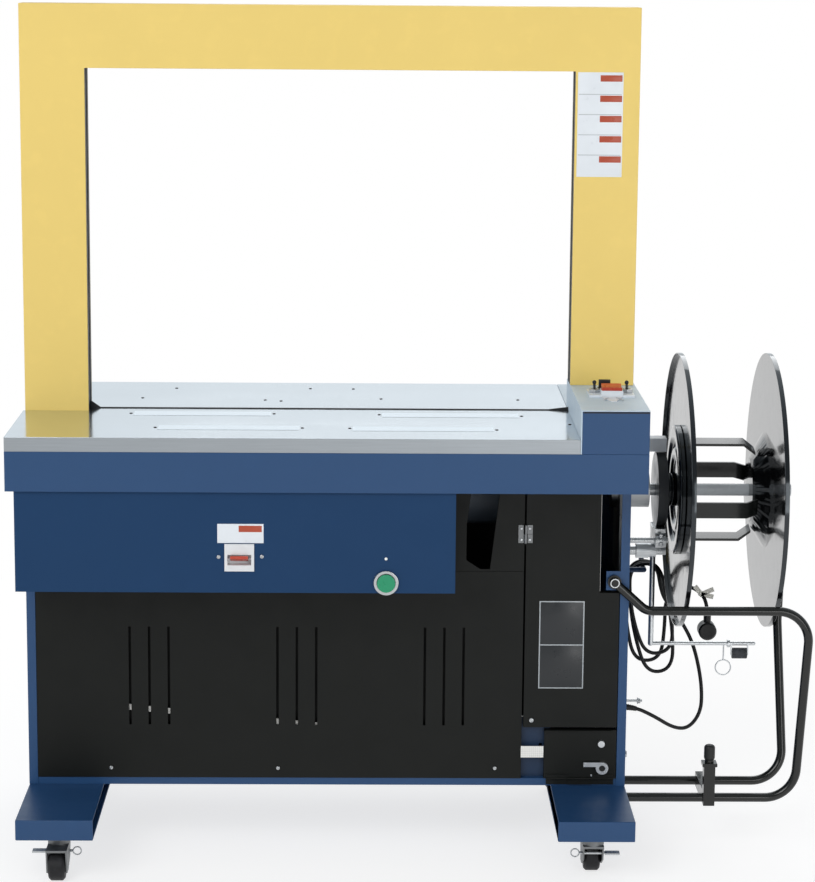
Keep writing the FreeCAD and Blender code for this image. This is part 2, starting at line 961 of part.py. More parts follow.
def make_rear_panel():
    """The rear cover between the rear posts, with fewer vent slots."""
    left = -post_inner + size.seat_gap
    right = post_inner - size.seat_gap
    rear = size.cabinet_rear
    plate = block("rear_plate", (left, rear - size.panel_sheet, sill_top), (right, rear, band_low))
    cuts = slot_cuts("rear", -size.rear_slot_first, size.rear_slot_low, rear, int(size.rear_slot_groups.value))
    node("rear_panel", cut("rear_panel", plate, *cuts))


def make_hinge_panel():
    """The fixed panel between the electrical box and the door, with a slanted gap open to the inside."""
    left = box_right + size.seat_gap
    right = hinge_x - size.hinge_radius / 2
    item = body("hinge_panel", (0, -size.cabinet_front, 0))
    outline = [
        (left, size.front_panel_top),
        (right, size.front_panel_top),
        (right, band_low),
        (gap_top_right, band_low),
        (gap_low_right, size.gap_low),
        (gap_low_left, size.gap_low),
        (gap_middle_left, size.gap_lower_bend),
        (gap_middle_left, size.gap_upper_bend),
        (gap_top_left, band_low),
        (left, band_low),
    ]
    feature(item, "Pad", sketch(item, "XZ", outline), size.panel_sheet, away=True)
    node("hinge_panel", item)


# Doors

hinge_x = front_panel_right + size.hinge_radius / 2
hinge_y = -size.cabinet_front - size.hinge_radius
door_left = hinge_x + size.hinge_radius / 2


def hinge_leaf(name, side, low, high):
    """One leaf with its share of the barrel, on the front of its panel."""
    front = -size.cabinet_front
    edge = hinge_x + side * (size.hinge_radius / 2 + size.hinge_leaf)
    low_x, high_x = (edge, hinge_x) if side < 0 else (hinge_x, edge)
    leaf = block(f"{name}_leaf", (low_x, front - size.hinge_leaf_thick, low), (high_x, front, high))
    barrel = rod(f"{name}_barrel", (hinge_x, hinge_y, low), size.hinge_radius, high - low)
    return fuse(f"{name}_half", leaf, barrel)


def make_door():
    """The tall door with its folded edge, the cut-away for the guard tube and its half of the hinge."""
    front = -size.cabinet_front
    top = band_low - size.door_gap
    skin = size.panel_sheet
    outline = [
        (door_left, size.door_low),
        (door_right, size.door_low),
        (door_right, size.door_notch_low),
        (door_notch_left, size.door_notch_low),
        (door_notch_left, top),
        (door_left, top),
    ]
    hollow = [
        (door_left + skin, size.door_low + skin),
        (door_right - skin, size.door_low + skin),
        (door_right - skin, size.door_notch_low - skin),
        (door_notch_left - skin, size.door_notch_low - skin),
        (door_notch_left - skin, top - skin),
        (door_left + skin, top - skin),
    ]
    pan = body("door_pan", (0, front, 0))
    feature(pan, "Pad", sketch(pan, "XZ", outline), size.panel_fold, away=True)
    feature(pan, "Pocket", sketch(pan, "XZ", hollow, -size.panel_fold), size.panel_fold - skin, away=True)
    middle = size.hinge_low + size.hinge_high / 2
    half = hinge_leaf("door_hinge_upper", 1, middle + size.pin_gap, size.hinge_low + size.hinge_high)
    bore = rod("hinge_bore", (hinge_x, hinge_y, size.hinge_low), size.hinge_pin_radius + size.pin_gap,
               size.hinge_high + size.overrun)
    relief = rod("hinge_relief", (hinge_x, hinge_y, size.hinge_low - size.pin_gap),
                 size.hinge_radius + size.seat_gap, size.hinge_high / 2 + size.pin_gap * 2)
    node("door", cut("door", fuse("door_whole", pan, half), bore, relief))


def make_door_hinge():
    """The fixed leaf with the pin that the door's leaf turns on."""
    middle = size.hinge_low + size.hinge_high / 2
    half = hinge_leaf("fixed_hinge", -1, size.hinge_low, middle)
    upper = block(
        "upper_leaf",
        (hinge_x - size.hinge_radius / 2 - size.hinge_leaf, -size.cabinet_front - size.hinge_leaf_thick, middle),
        (hinge_x - size.hinge_radius - size.seat_gap, -size.cabinet_front, size.hinge_low + size.hinge_high),
    )
    pin = rod("hinge_pin", (hinge_x, hinge_y, size.hinge_low), size.hinge_pin_radius, size.hinge_high)
    node("door_hinge", fuse("door_hinge", half, upper, pin))


def make_pool_door():
    """The low door over the strap pool's outlet, hinged along its lower edge."""
    front = -size.cabinet_front
    left = pool_left_x
    skin = size.panel_sheet
    pan = shell(
        "pool_pan",
        (left, front, pool_hinge_z),
        (door_right, front + size.panel_fold, size.pool_door_high),
        (left + skin, front + skin, sill_top - size.overrun),
        (door_right - skin, front + size.panel_fold + size.overrun, size.pool_door_high - skin),
    )
    lip = block("pool_lip", (left, front - size.pool_door_lip / 2, size.pool_door_high - skin),
                (door_right - size.pool_door_lip, front, size.pool_door_high))
    knob = rod("pool_knob", (pool_knob_x, front - size.pool_knob_out, size.pool_knob_z),
               size.pool_knob_radius, size.pool_knob_out, "Y")
    bore = rod("latch_bore", (latch_x, front - size.overrun, size.latch_z),
               size.latch_stem_radius + size.pin_gap, size.overrun * 2, "Y")
    notch = block(
        "catch_notch",
        (door_right - size.overrun, front + skin, size.latch_z - size.latch_stem_radius - size.seat_gap),
        (door_right + size.overrun, front + size.panel_fold + size.overrun,
         size.latch_z + size.latch_catch_long),
    )
    first, last = pool_left_x + size.pool_hinge_end, door_right - size.pool_hinge_end
    knuckles = []
    for start in (first, last - size.pool_knuckle):
        barrel = rod("door_knuckle", (start, pool_hinge_y, pool_hinge_z), size.pool_hinge_radius,
                     size.pool_knuckle, "X")
        leaf = block("door_leaf", (start, pool_hinge_y, pool_hinge_z),
                     (start + size.pool_knuckle, front, pool_hinge_z + size.pool_leaf_high))
        knuckles += [barrel, leaf]
    whole = fuse("pool_door_whole", cut("pool_face", fuse("pool_front", pan, lip, knob), bore, notch), *knuckles)
    pin = rod("pool_pin_bore", (first - size.overrun, pool_hinge_y, pool_hinge_z),
              size.pool_hinge_pin + size.pin_gap, last - first + size.overrun * 2, "X")
    node("pool_door", cut("pool_door", whole, pin))


def make_pool_latch():
    """A ring-ended lever on a stem. Its catch stands upright behind the door, and turns behind the post."""
    front = -size.cabinet_front
    back = front + size.panel_sheet + size.seat_gap
    lever_y = front - size.latch_thick * 2 - size.seat_gap
    ring = rod("latch_ring", (latch_x, lever_y, size.latch_z), size.latch_ring_radius,
               size.latch_thick * 2, "Y")
    arm = block(
        "latch_arm",
        (latch_x - size.latch_arm_long, lever_y, size.latch_z + size.latch_ring_radius - size.latch_arm_high),
        (latch_x, lever_y + size.latch_thick, size.latch_z + size.latch_ring_radius),
    )
    dish = rod("latch_dish", (latch_x, lever_y - size.overrun, size.latch_z), size.latch_hole_radius,
               size.overrun + size.latch_thick, "Y")
    stem = rod("latch_stem", (latch_x, lever_y + size.latch_thick, size.latch_z),
               size.latch_stem_radius, size.latch_stem_long, "Y")
    catch = block(
        "latch_catch",
        (latch_x - size.latch_stem_radius, back, size.latch_z - size.latch_stem_radius),
        (latch_x + size.latch_stem_radius, back + size.latch_thick, size.latch_z + size.latch_catch_long),
    )
    lever = cut("latch_lever", fuse("latch_face", ring, arm), dish)
    node("pool_latch", fuse("pool_latch", lever, stem, catch))


# Table and arch


def make_table_frame():
    """The blue ring under the table, with the two channels that carry the arch and the reel's upper bracket."""
    wall = size.frame_sheet
    ring = shell(
        "frame_ring",
        (-table_half, -size.table_front, band_low),
        (table_half, size.table_rear, band_top),
        (-table_half + wall, -size.table_front + wall, band_low + wall),
        (table_half - wall, size.table_rear - wall, band_top + size.overrun),
    )
    opening = block(
        "frame_opening",
        (-table_half + size.frame_flange, -size.table_front + size.frame_flange, band_low - size.overrun),
        (table_half - size.frame_flange, size.table_rear - size.frame_flange, band_low + size.overrun),
    )
    parts = [cut("frame_band", ring, opening)]
    for side in (-1, 1):
        near = side * arch_inner
        far = side * arch_outer
        low_x, high_x = (far, near) if side < 0 else (near, far)
        parts.append(shell(
            "cross_channel",
            (low_x, -size.table_front, band_top - size.cross_high),
            (high_x, size.table_rear, band_top),
            (low_x + wall, -size.table_front + wall, band_top - size.cross_high - size.overrun),
            (high_x - wall, size.table_rear - wall, band_top - wall),
        ))
    parts.append(block(
        "front_rail",
        (-table_half, -size.cabinet_front, band_low),
        (table_half, -size.cabinet_front + size.rail_wide, band_low + wall),
    ))
    parts.append(block(
        "upper_arm",
        (table_half, size.reel_y - size.upper_arm_wide / 2, upper_arm_low),
        (upper_arm_end_x, size.reel_y + size.upper_arm_wide / 2, upper_arm_low + size.upper_arm_high),
    ))
    node("table_frame", fuse("table_frame", *parts))


def make_table_half(name, outline, hollow):
    """One stainless leaf of the table, folded down at its outer edges and notched round the arch."""
    item = body(name)
    feature(item, "Pad", sketch(item, "XY", outline, band_top), size.table_lip)
    feature(item, "Pocket", sketch(item, "XY", hollow, size.table_top - size.table_sheet), size.table_lip)
    node(name, item)


def make_table():
    gap = size.seat_gap
    edge = arch_inner - gap
    front_edge = arch_middle - slot_half
    rear_edge = arch_middle + slot_half
    skin = size.table_sheet
    half = size.lower_track_wide / 2 + size.seat_gap
    make_table_half(
        "table_front",
        [
            (-table_half, -size.table_front),
            (edge, -size.table_front),
            (edge, front_edge),
            (-edge, front_edge),
            (-edge, size.arch_front - gap),
            (-table_half, size.arch_front - gap),
        ],
        [
            (-table_half + skin, -size.table_front + skin),
            (edge - skin, -size.table_front + skin),
            (edge - skin, arch_middle - half),
            (edge + size.overrun, arch_middle - half),
            (edge + size.overrun, front_edge + size.overrun),
            (-table_half + skin, front_edge + size.overrun),
        ],
    )
    make_table_half(
        "table_rear",
        [
            (-table_half, arch_back + gap),
            (-edge, arch_back + gap),
            (-edge, rear_edge),
            (edge, rear_edge),
            (edge, size.table_rear),
            (-table_half, size.table_rear),
        ],
        [
            (-table_half + skin, rear_edge - size.overrun),
            (edge + size.overrun, rear_edge - size.overrun),
            (edge + size.overrun, arch_middle + half),
            (edge - skin, arch_middle + half),
            (edge - skin, size.table_rear - skin),
            (-table_half + skin, size.table_rear - skin),
        ],
    )


def make_corner_block():
    """The blue block at the right front corner, open below, with a passage for the strap track."""
    skin = size.block_sheet
    left = arch_inner + size.cover_sheet
    top = block_top - size.cover_sheet
    box = shell(
        "block_box",
        (left, -size.table_front, band_top),
        (table_half, size.block_rear, top),
        (left + skin, -size.table_front + skin, band_top - size.overrun),
        (table_half - skin, size.block_rear - skin, top - skin),
    )
    node("corner_block", cut("corner_block", box, track_passage("block_passage", arch_inner - size.overrun)))


def track_passage(name, start_x):
    """The space that a sheet leaves round the strap track."""
    gap = size.seat_gap
    return block(
        name,
        (start_x, size.arch_front + size.arch_sheet - gap, band_top - size.overrun),
        (arch_inner + size.track_thick + gap, arch_back - size.arch_sheet + gap, block_top + size.overrun),
    )


def make_corner_cover():
    """The pale top sheet with its turned-down left side, and the rear corner plate beside the table."""
    top_low = block_top - size.cover_sheet
    sheet_top = block("cover_top", (arch_inner, -size.table_front, top_low), (table_half, size.block_rear, block_top))
    side = block("cover_side", (arch_inner, -size.table_front, band_top),
                 (arch_inner + size.cover_sheet, size.block_rear, block_top))
    gap = size.seat_gap
    mouth = block(
        "strap_mouth",
        (arch_inner - size.overrun, arch_middle - size.groove_wide / 2, band_top),
        (arch_inner + size.overrun, arch_middle + size.groove_wide / 2, size.table_top),
    )
    cover = cut("cover_sheet", fuse("cover_folds", sheet_top, side), mouth,
                track_passage("cover_passage", arch_inner + size.cover_sheet))
    skin = size.table_sheet
    plate = shell(
        "rear_corner",
        (arch_inner + gap, size.block_rear + gap, band_top),
        (table_half, size.table_rear, size.table_top),
        (arch_inner + gap + skin, size.block_rear + gap + skin, band_top - size.overrun),
        (table_half - skin, size.table_rear - skin, size.table_top - skin),
    )
    node("corner_cover", fuse("corner_cover", cover, plate))


def make_arch_leg(side, name, low_z):
    """One upright of the arch, a sheet channel open towards the parcel."""
    skin = size.arch_sheet
    near, far = side * arch_inner, side * arch_outer
    low_x, high_x = (far, near) if side < 0 else (near, far)
    cavity_low = low_x + skin if side < 0 else low_x - size.overrun
    cavity_high = high_x + size.overrun if side < 0 else high_x - skin
    node(name, shell(
        name,
        (low_x, size.arch_front, low_z),
        (high_x, arch_back, arch_beam_low),
        (cavity_low, size.arch_front + skin, low_z - size.overrun),
        (cavity_high, arch_back - skin, arch_beam_low + size.overrun),
    ))


def make_arch_beam():
    skin = size.arch_sheet
    node("arch_beam", shell(
        "arch_beam",
        (-arch_outer, size.arch_front, arch_beam_low),
        (arch_outer, arch_back, arch_top),
        (-arch_outer + skin, size.arch_front + skin, arch_beam_low - size.overrun),
        (arch_outer - skin, arch_back - skin, arch_top - skin),
    ))


def make_strap_track():
    """The grooved track inside the arch and under the table slot, with the two guides at the slot's ends."""
    gap = size.seat_gap
    thick = size.track_thick
    front = size.arch_front + size.arch_sheet + gap
    back = arch_back - size.arch_sheet - gap
    groove = size.groove_wide / 2
    outer = block("arch_outside", (-arch_inner - thick, front, band_top), (arch_inner + thick, back, arch_beam_low + thick))
    inner = block("arch_inside", (-arch_inner, front - size.overrun, band_top - size.overrun),
                  (arch_inner, back + size.overrun, arch_beam_low))
    channel = block(
        "arch_groove",
        (-arch_inner - size.groove_deep, arch_middle - groove, band_top - size.overrun),
        (arch_inner + size.groove_deep, arch_middle + groove, arch_beam_low + size.groove_deep),
    )
    relief = block(
        "cover_relief",
        (arch_inner - size.overrun, front - size.overrun, band_top - size.overrun),
        (arch_inner + size.cover_sheet + gap, back + size.overrun, block_top + gap),
    )
    arch = cut("arch_track", outer, inner, channel, relief)
    low = size.table_top - size.table_sheet - size.lower_track_high
    high = size.table_top - size.table_sheet
    reach = arch_inner - gap
    rail = block("slot_rail", (-reach, arch_middle - size.lower_track_wide / 2, low),
                 (reach, arch_middle + size.lower_track_wide / 2, high))
    slot = block("slot_groove", (-reach - size.overrun, arch_middle - groove, high - size.groove_deep),
                 (reach + size.overrun, arch_middle + groove, high + size.overrun))
    fins = []
    for side, long, tall in ((-1, size.left_guide_long, size.left_guide_high),
                             (1, size.right_guide_long, size.right_guide_high)):
        fin = body("slot_guide", (0, arch_middle + size.guide_thin / 2, 0))
        outline = [
            (side * (reach - long), high - size.groove_deep - size.guide_thin),
            (side * reach, high - size.groove_deep - size.guide_thin),
            (side * reach, size.table_top + tall),
            (side * (reach - long), size.table_top + size.guide_thin / 2),
        ]
        feature(fin, "Pad", sketch(fin, "XZ", outline), size.guide_thin)
        fins.append(fin)
    node("strap_track", fuse("strap_track", arch, cut("slot_track", rail, slot), *fins))


# Electrical box and its controls


def make_electrical_box():
    """The box under the table's left half, a tray open at the back with the places of its two controls cut out."""
    skin = size.box_sheet
    front = -size.cabinet_front - size.box_out
    tray = shell(
        "box_tray",
        (-cabinet_half, front, size.box_low),
        (box_right, -size.cabinet_front, band_low),
        (-cabinet_half + skin, front + skin, size.box_low + skin),
        (box_right - skin, -size.cabinet_front + size.overrun, band_low - skin),
    )
    window = block(
        "breaker_place",
        (-size.breaker_x - size.breaker_wide / 2 + size.breaker_rim, front - size.overrun,
         size.breaker_z - size.breaker_high / 2 + size.breaker_rim),
        (-size.breaker_x + size.breaker_wide / 2 - size.breaker_rim, front + size.overrun,
         size.breaker_z + size.breaker_high / 2 - size.breaker_rim),
    )
    hole = rod("start_place", (size.start_x, front - size.overrun, size.start_z),
               size.start_thread_radius + size.seat_gap, size.overrun * 2, "Y")
    node("electrical_box", cut("electrical_box", tray, window, hole))


def make_breaker():
    """The circuit breaker with its front plate and the recess of its lever."""
    front = -size.cabinet_front - size.box_out
    inset = size.breaker_rim + size.seat_gap
    plate = block(
        "breaker_front",
        (-size.breaker_x - size.breaker_wide / 2, front - size.breaker_plate, size.breaker_z - size.breaker_high / 2),
        (-size.breaker_x + size.breaker_wide / 2, front, size.breaker_z + size.breaker_high / 2),
    )
    case = block(
        "breaker_case",
        (-size.breaker_x - size.breaker_wide / 2 + inset, front - size.breaker_plate,
         size.breaker_z - size.breaker_high / 2 + inset),
        (-size.breaker_x + size.breaker_wide / 2 - inset, front + size.breaker_deep,
         size.breaker_z + size.breaker_high / 2 - inset),
    )
    low = breaker_axis_z - size.breaker_window_high / 2
    window = block(
        "breaker_window",
        (-size.breaker_x - size.breaker_window_wide / 2, front - size.breaker_plate - size.overrun, low),
        (-size.breaker_x + size.breaker_window_wide / 2, front + size.breaker_window_deep,
         low + size.breaker_window_high),
    )
    pivots = [
        rod("breaker_pivot", (start, front + size.breaker_window_deep / 2, breaker_axis_z),
            size.toggle_axle_radius / 2, size.breaker_window_wide / 8, "X")
        for start in (-size.breaker_x - size.breaker_window_wide / 2,
                      -size.breaker_x + size.breaker_window_wide * 3 / 8)
    ]
    node("breaker", fuse("breaker", cut("breaker_box", fuse("breaker_solid", plate, case), window), *pivots))


breaker_axis_z = size.breaker_z - size.breaker_window_drop / 2


def make_breaker_toggle():
    """The breaker's two levers on one axle, joined by a bar and drawn about the axle."""
    front = -size.cabinet_front - size.box_out
    axis_y = front + size.breaker_window_deep / 2
    reach = size.breaker_window_wide * 3 / 8
    half = size.toggle_bar_high / 2
    axle = rod("toggle_axle", (-reach, 0, 0), size.toggle_axle_radius, reach * 2, "X")
    bore = rod("toggle_bore", (-reach - size.overrun, 0, 0), size.toggle_axle_radius / 2 + size.pin_gap,
               (reach + size.overrun) * 2, "X")
    outer = -size.breaker_window_deep / 2 - size.breaker_plate - size.toggle_reach
    levers = [
        block("toggle_pole", (centre - size.toggle_pole_wide / 2, outer, -half),
              (centre + size.toggle_pole_wide / 2, 0, half))
        for centre in (-reach + size.toggle_pole_wide / 2, reach - size.toggle_pole_wide / 2)
    ]
    bar = block("toggle_bar", (-reach, outer, -half), (reach, outer + size.toggle_bar_high, half))
    whole = cut("breaker_toggle", fuse("toggle_whole", axle, bar, *levers), bore)
    swung("breaker_toggle", whole, (-size.breaker_x, axis_y, breaker_axis_z), ALONG, -size.breaker_lean)


def make_start_button():
    """The start button and the threaded bezel it slides in."""
    front = -size.cabinet_front - size.box_out
    out = front - size.start_bezel_out
    ring = rod("bezel_ring", (size.start_x, out, size.start_z), size.start_bezel_radius, size.start_bezel_out, "Y")
    thread = rod("bezel_thread", (size.start_x, front, size.start_z), size.start_thread_radius,
                 size.start_bezel_deep, "Y")
    cup = rod("bezel_cup", (size.start_x, out - size.overrun, size.start_z), size.start_cap_radius + size.seat_gap,
              size.overrun + size.start_travel, "Y")
    bore = rod("bezel_bore", (size.start_x, out - size.overrun, size.start_z), size.start_stem_radius + size.pin_gap,
               size.start_bezel_deep + size.overrun * 3, "Y")
    node("start_bezel", cut("start_bezel", fuse("bezel", ring, thread), cup, bore))
    cap_y = out - size.start_cap_thick
    cap = rod("button_cap", (size.start_x, cap_y, size.start_z), size.start_cap_radius,
              size.start_cap_thick - size.seat_gap, "Y")
    stem = rod("button_stem", (size.start_x, cap_y, size.start_z), size.start_stem_radius, size.start_stem_long, "Y")
    node("start_button", fuse("start_button", cap, stem))


# Switches on the corner block


toggle_seat_half = size.toggle_tip_radius / 2 + size.toggle_lever_radius / 2


def toggle_room(name, side, plate_y, top):
    """The room for a toggle's round trunnion."""
    half = toggle_seat_half + size.seat_gap
    return rod(name, (console_x + side * size.toggle_out - half, plate_y, top),
               size.toggle_tip_radius + size.seat_gap, half * 2, "X")


def make_switches():
    """The switch plate with a rocker, a knob and two toggle switches."""
    top = block_top + size.console_high
    plate_y = -size.console_y
    plate = block(
        "console_plate",
        (console_x - size.console_wide / 2, plate_y - size.console_deep / 2, block_top),
        (console_x + size.console_wide / 2, plate_y + size.console_deep / 2, top),
    )
    rocker_y = plate_y - size.console_deep / 2 + size.rocker_deep / 2 + size.rocker_wall
    wall = size.rocker_wall
    rim = shell(
        "rocker_rim",
        (console_x - size.rocker_wide / 2 - wall, rocker_y - size.rocker_deep / 2 - wall, top),
        (console_x + size.rocker_wide / 2 + wall, rocker_y + size.rocker_deep / 2 + wall,
         top + size.rocker_high / 2),
        (console_x - size.rocker_wide / 2 - size.seat_gap, rocker_y - size.rocker_deep / 2 - wall / 2,
         top - size.overrun),
        (console_x + size.rocker_wide / 2 + size.seat_gap, rocker_y + size.rocker_deep / 2 + wall / 2,
         top + size.rocker_high),
    )
    axle_z = top + size.rocker_high / 3
    pin = rod("rocker_pin", (console_x - size.rocker_wide / 2 - wall, rocker_y, axle_z),
              size.rocker_axle_radius, size.rocker_wide + wall * 2, "X")
    knob_x = console_x - size.knob_left
    knob_y = rocker_y + size.knob_back
    post = rod("knob_post", (knob_x, knob_y, block_top), size.knob_stem_radius, size.console_high + size.knob_high / 2)
    nuts = []
    for side in (-1, 1):
        spot = (console_x + side * size.toggle_out, plate_y, top)
        nuts.append(cut(
            "toggle_socket",
            rod("toggle_nut", spot, size.toggle_nut_radius, size.toggle_nut_high),
            rod("toggle_mouth", spot, size.toggle_tip_radius + size.seat_gap * 2, size.toggle_nut_high),
            toggle_room("toggle_seat", side, plate_y, top),
        ))
    recess = [toggle_room("plate_seat", side, plate_y, top) for side in (-1, 1)]
    node("switch_console", fuse("switch_console", cut("console_face", plate, *recess), rim, pin, post, *nuts))

    cap = body("rocker_cap", (-size.rocker_wide / 2, 0, 0))
    half = size.rocker_deep / 2
    length = size.rocker_high * 2 / 3
    rise = size.rocker_high / 8
    outline = [
        (-half, -rise),
        (half, -rise),
        (half, length),
        (0, length * 2 / 3),
        (-half, length),
    ]
    feature(cap, "Pad", sketch(cap, "YZ", outline), size.rocker_wide)
    bore = rod("rocker_bore", (-size.rocker_wide, 0, 0), size.rocker_axle_radius + size.pin_gap,
               size.rocker_wide * 2, "X")
    swung("rocker", cut("rocker", cap, bore), (console_x, rocker_y, axle_z), ALONG, size.rocker_lean)

    low = top + size.seat_gap
    skirt = rod("knob_skirt", (knob_x, knob_y, low), size.knob_wide / 2, size.knob_high / 3)
    grip = block(
        "knob_grip",
        (knob_x - size.knob_wide / 2 + size.rocker_wall, knob_y - size.knob_deep / 4, low),
        (knob_x + size.knob_wide / 2 - size.rocker_wall, knob_y + size.knob_deep / 4, low + size.knob_high),
    )
    socket = rod("knob_socket", (knob_x, knob_y, low - size.overrun), size.knob_stem_radius + size.pin_gap,
                 size.overrun + size.knob_high / 2 + size.seat_gap)
    node("mode_knob", cut("mode_knob", fuse("knob_whole", skirt, grip), socket))

    for side, name in ((-1, "toggle_left"), (1, "toggle_right")):
        seat = rod(f"{name}_seat", (-toggle_seat_half, 0, 0), size.toggle_tip_radius, toggle_seat_half * 2, "X")
        lever = rod(f"{name}_lever", (0, 0, 0), size.toggle_lever_radius, size.toggle_lever_high)
        tip = ball(f"{name}_tip", (0, 0, size.toggle_lever_high), size.toggle_tip_radius)
        spot = (console_x + side * size.toggle_out, plate_y, top)
        swung(name, fuse(name, seat, lever, tip), spot, ALONG, -size.toggle_lean)


# Castors, each drawn with its swivel axis upright at the origin, its axle along X and its trail towards Y

castor_x = cabinet_half - size.foot_wide / 2
castor_front_y = -size.foot_front + size.castor_inset
castor_rear_y = size.foot_rear - size.castor_inset


def make_fork(name, spot, heading):
    half = size.fork_gap / 2
    side = half + size.fork_sheet
    crown_top = size.fork_crown_low + size.fork_crown
    race = rod(f"{name}_race", (0, 0, size.castor_high - size.race_high), size.race_radius, size.race_high)
    head = rod(f"{name}_head", (0, 0, crown_top), size.swivel_radius, size.castor_high - crown_top)
    crown = block(f"{name}_crown", (-side, -size.swivel_radius, size.fork_crown_low),
                  (side, size.castor_trail + size.fork_half_long, crown_top))
    cheeks = []
    for start in (-side, half):
        cheek = body(f"{name}_cheek", (start, 0, 0))
        outline = [
            (-size.fork_half_long, crown_top),
            (-size.fork_boss, size.brake_high - size.fork_boss),
            (size.castor_trail - size.fork_boss, size.wheel_radius - size.fork_boss),
            (size.castor_trail + size.fork_boss, size.wheel_radius - size.fork_boss),
            (size.castor_trail + size.fork_half_long, crown_top),
        ]
        feature(cheek, "Pad", sketch(cheek, "YZ", outline), size.fork_sheet)
        cheeks.append(cheek)
    axle = rod(f"{name}_axle", (-side, size.castor_trail, size.wheel_radius), size.axle_radius, side * 2, "X")
    hole = rod(f"{name}_brake_hole", (-side - size.overrun, -size.brake_back, size.brake_high),
               size.brake_pin_radius + size.pin_gap, (side + size.overrun) * 2, "X")
    whole = fuse(f"{name}_whole", race, head, crown, axle, *cheeks)
    swung(name, cut(name, whole, hole), spot, UP, heading)


def make_wheel(name, spot, heading):
    wide = size.wheel_wide / 2
    flat = wide - size.wheel_edge
    y, z = size.castor_trail, size.wheel_radius
    small = size.wheel_radius - size.wheel_edge
    hub = size.fork_gap / 2 - size.seat_gap
    tread = rod(f"{name}_tread", (-flat, y, z), size.wheel_radius, flat * 2, "X")
    left = taper(f"{name}_left", (-wide, y, z), small, size.wheel_radius, size.wheel_edge, "X")
    right = taper(f"{name}_right", (flat, y, z), size.wheel_radius, small, size.wheel_edge, "X")
    boss = rod(f"{name}_hub", (-hub, y, z), size.hub_side_radius, hub * 2, "X")
    bore = rod(f"{name}_bore", (-wide * 2, y, z), size.axle_radius + size.pin_gap, wide * 4, "X")
    swung(name, cut(name, fuse(f"{name}_whole", tread, left, right, boss), bore), spot, UP, heading)


def make_castor_brake(name, spot, heading):
    """A cross pin with a foot tab on one end, a wire ring on the other and a lug for the wheel's tread."""
    reach = size.fork_gap / 2 + size.fork_sheet + size.brake_arm_out
    y, z = -size.brake_back, size.brake_high
    pin = rod(f"{name}_pin", (-reach, y, z), size.brake_pin_radius, reach * 2, "X")
    tab = block(
        f"{name}_tab",
        (reach - size.brake_tab_thick, y - size.brake_tab_wide / 2, z - size.brake_tab_thick / 2),
        (reach + size.brake_tab_long, y + size.brake_tab_wide / 2, z + size.brake_tab_thick / 2),
    )
    ring = wire_ring(f"{name}_ring", (-reach - size.brake_ring_radius, y, z), size.brake_ring_radius,
                     size.brake_wire, "Y")
    lug = block(f"{name}_lug", (-size.brake_lug_wide / 2, y, z - size.brake_tab_thick / 2),
                (size.brake_lug_wide / 2, y + size.brake_lug_long, z + size.brake_tab_thick / 2))
    swung(name, fuse(name, pin, tab, ring, lug), spot, UP, heading)


def make_castors():
    corners = {
        "front_left": ((-castor_x, castor_front_y, 0), size.front_left_heading),
        "front_right": ((castor_x, castor_front_y, 0), size.front_right_heading),
        "rear_left": ((-castor_x, castor_rear_y, 0), size.rear_left_heading),
        "rear_right": ((castor_x, castor_rear_y, 0), size.rear_right_heading),
    }
    for corner, (spot, heading) in corners.items():
        make_fork(f"castor_fork_{corner}", spot, heading)
        make_wheel(f"castor_wheel_{corner}", spot, heading)
        if corner.startswith("front"):
            make_castor_brake(f"castor_brake_{corner}", spot, heading)


# Strap reel, its bracket and its brake


def reel_rod(name, start_x, radius, length):
    return rod(name, (start_x, size.reel_y, reel_z), radius, length, "X")


def reel_ring(name, start_x, radius, inner, length):
    """A flat ring about the reel's axis."""
    return cut(name, reel_rod(f"{name}_outside", start_x, radius, length),
               reel_rod(f"{name}_inside", start_x - size.overrun, inner, length + size.overrun * 2))


def make_hub_tube():
    """The bracket that holds the reel: a bearing tube through the cabinet's side, with its plates and studs."""
    wall_x = cabinet_half - size.cabinet_sheet
    tube = reel_rod("bracket_tube", bracket_tube_start_x, size.bracket_tube_radius,
                    bracket_tube_end_x - bracket_tube_start_x)
    disc = reel_rod("bracket_disc", cabinet_half, size.bracket_disc_radius, size.bracket_disc)
    plate = block(
        "mount_plate",
        (wall_x - size.mount_plate, size.reel_y - size.mount_plate_half, reel_z - size.mount_plate_drop),
        (wall_x, size.reel_y + size.mount_plate_half, reel_z + size.mount_plate_up),
    )
    start = wall_x - size.mount_plate
    brake_stud = rod("brake_stud", (start, size.brake_y, brake_z), size.brake_stud_radius,
                     brake_stud_end_x - start, "X")
    dancer_stud = rod("dancer_stud", (start, size.reel_y, dancer_z), size.dancer_stud_radius,
                      dancer_stud_end_x - start, "X")
    bore = reel_rod("bracket_bore", bracket_tube_start_x - size.overrun, size.shaft_radius + size.shaft_gap,
                    bracket_tube_end_x - bracket_tube_start_x + size.overrun * 2)
    node("hub_tube", cut("hub_tube", fuse("bracket", tube, disc, plate, brake_stud, dancer_stud), bore))


def make_reel_shaft():
    """The shaft with its brake drum and the end nut."""
    shaft = reel_rod("shaft", shaft_start_x, size.shaft_radius, shaft_end_x - shaft_start_x)
    drum = cut(
        "drum",
        reel_rod("drum_outside", drum_x, size.drum_radius, size.drum_wide),
        reel_rod("drum_inside", drum_x + size.drum_web, size.drum_radius - size.drum_wall, size.drum_wide),
    )
    nut = hexagon("shaft_nut", (outer_disc_x + size.reel_sheet + size.seat_gap, size.reel_y, reel_z),
                  size.nut_radius, size.nut_long, "X")
    node("reel_shaft", fuse("reel_shaft", shaft, drum, nut))


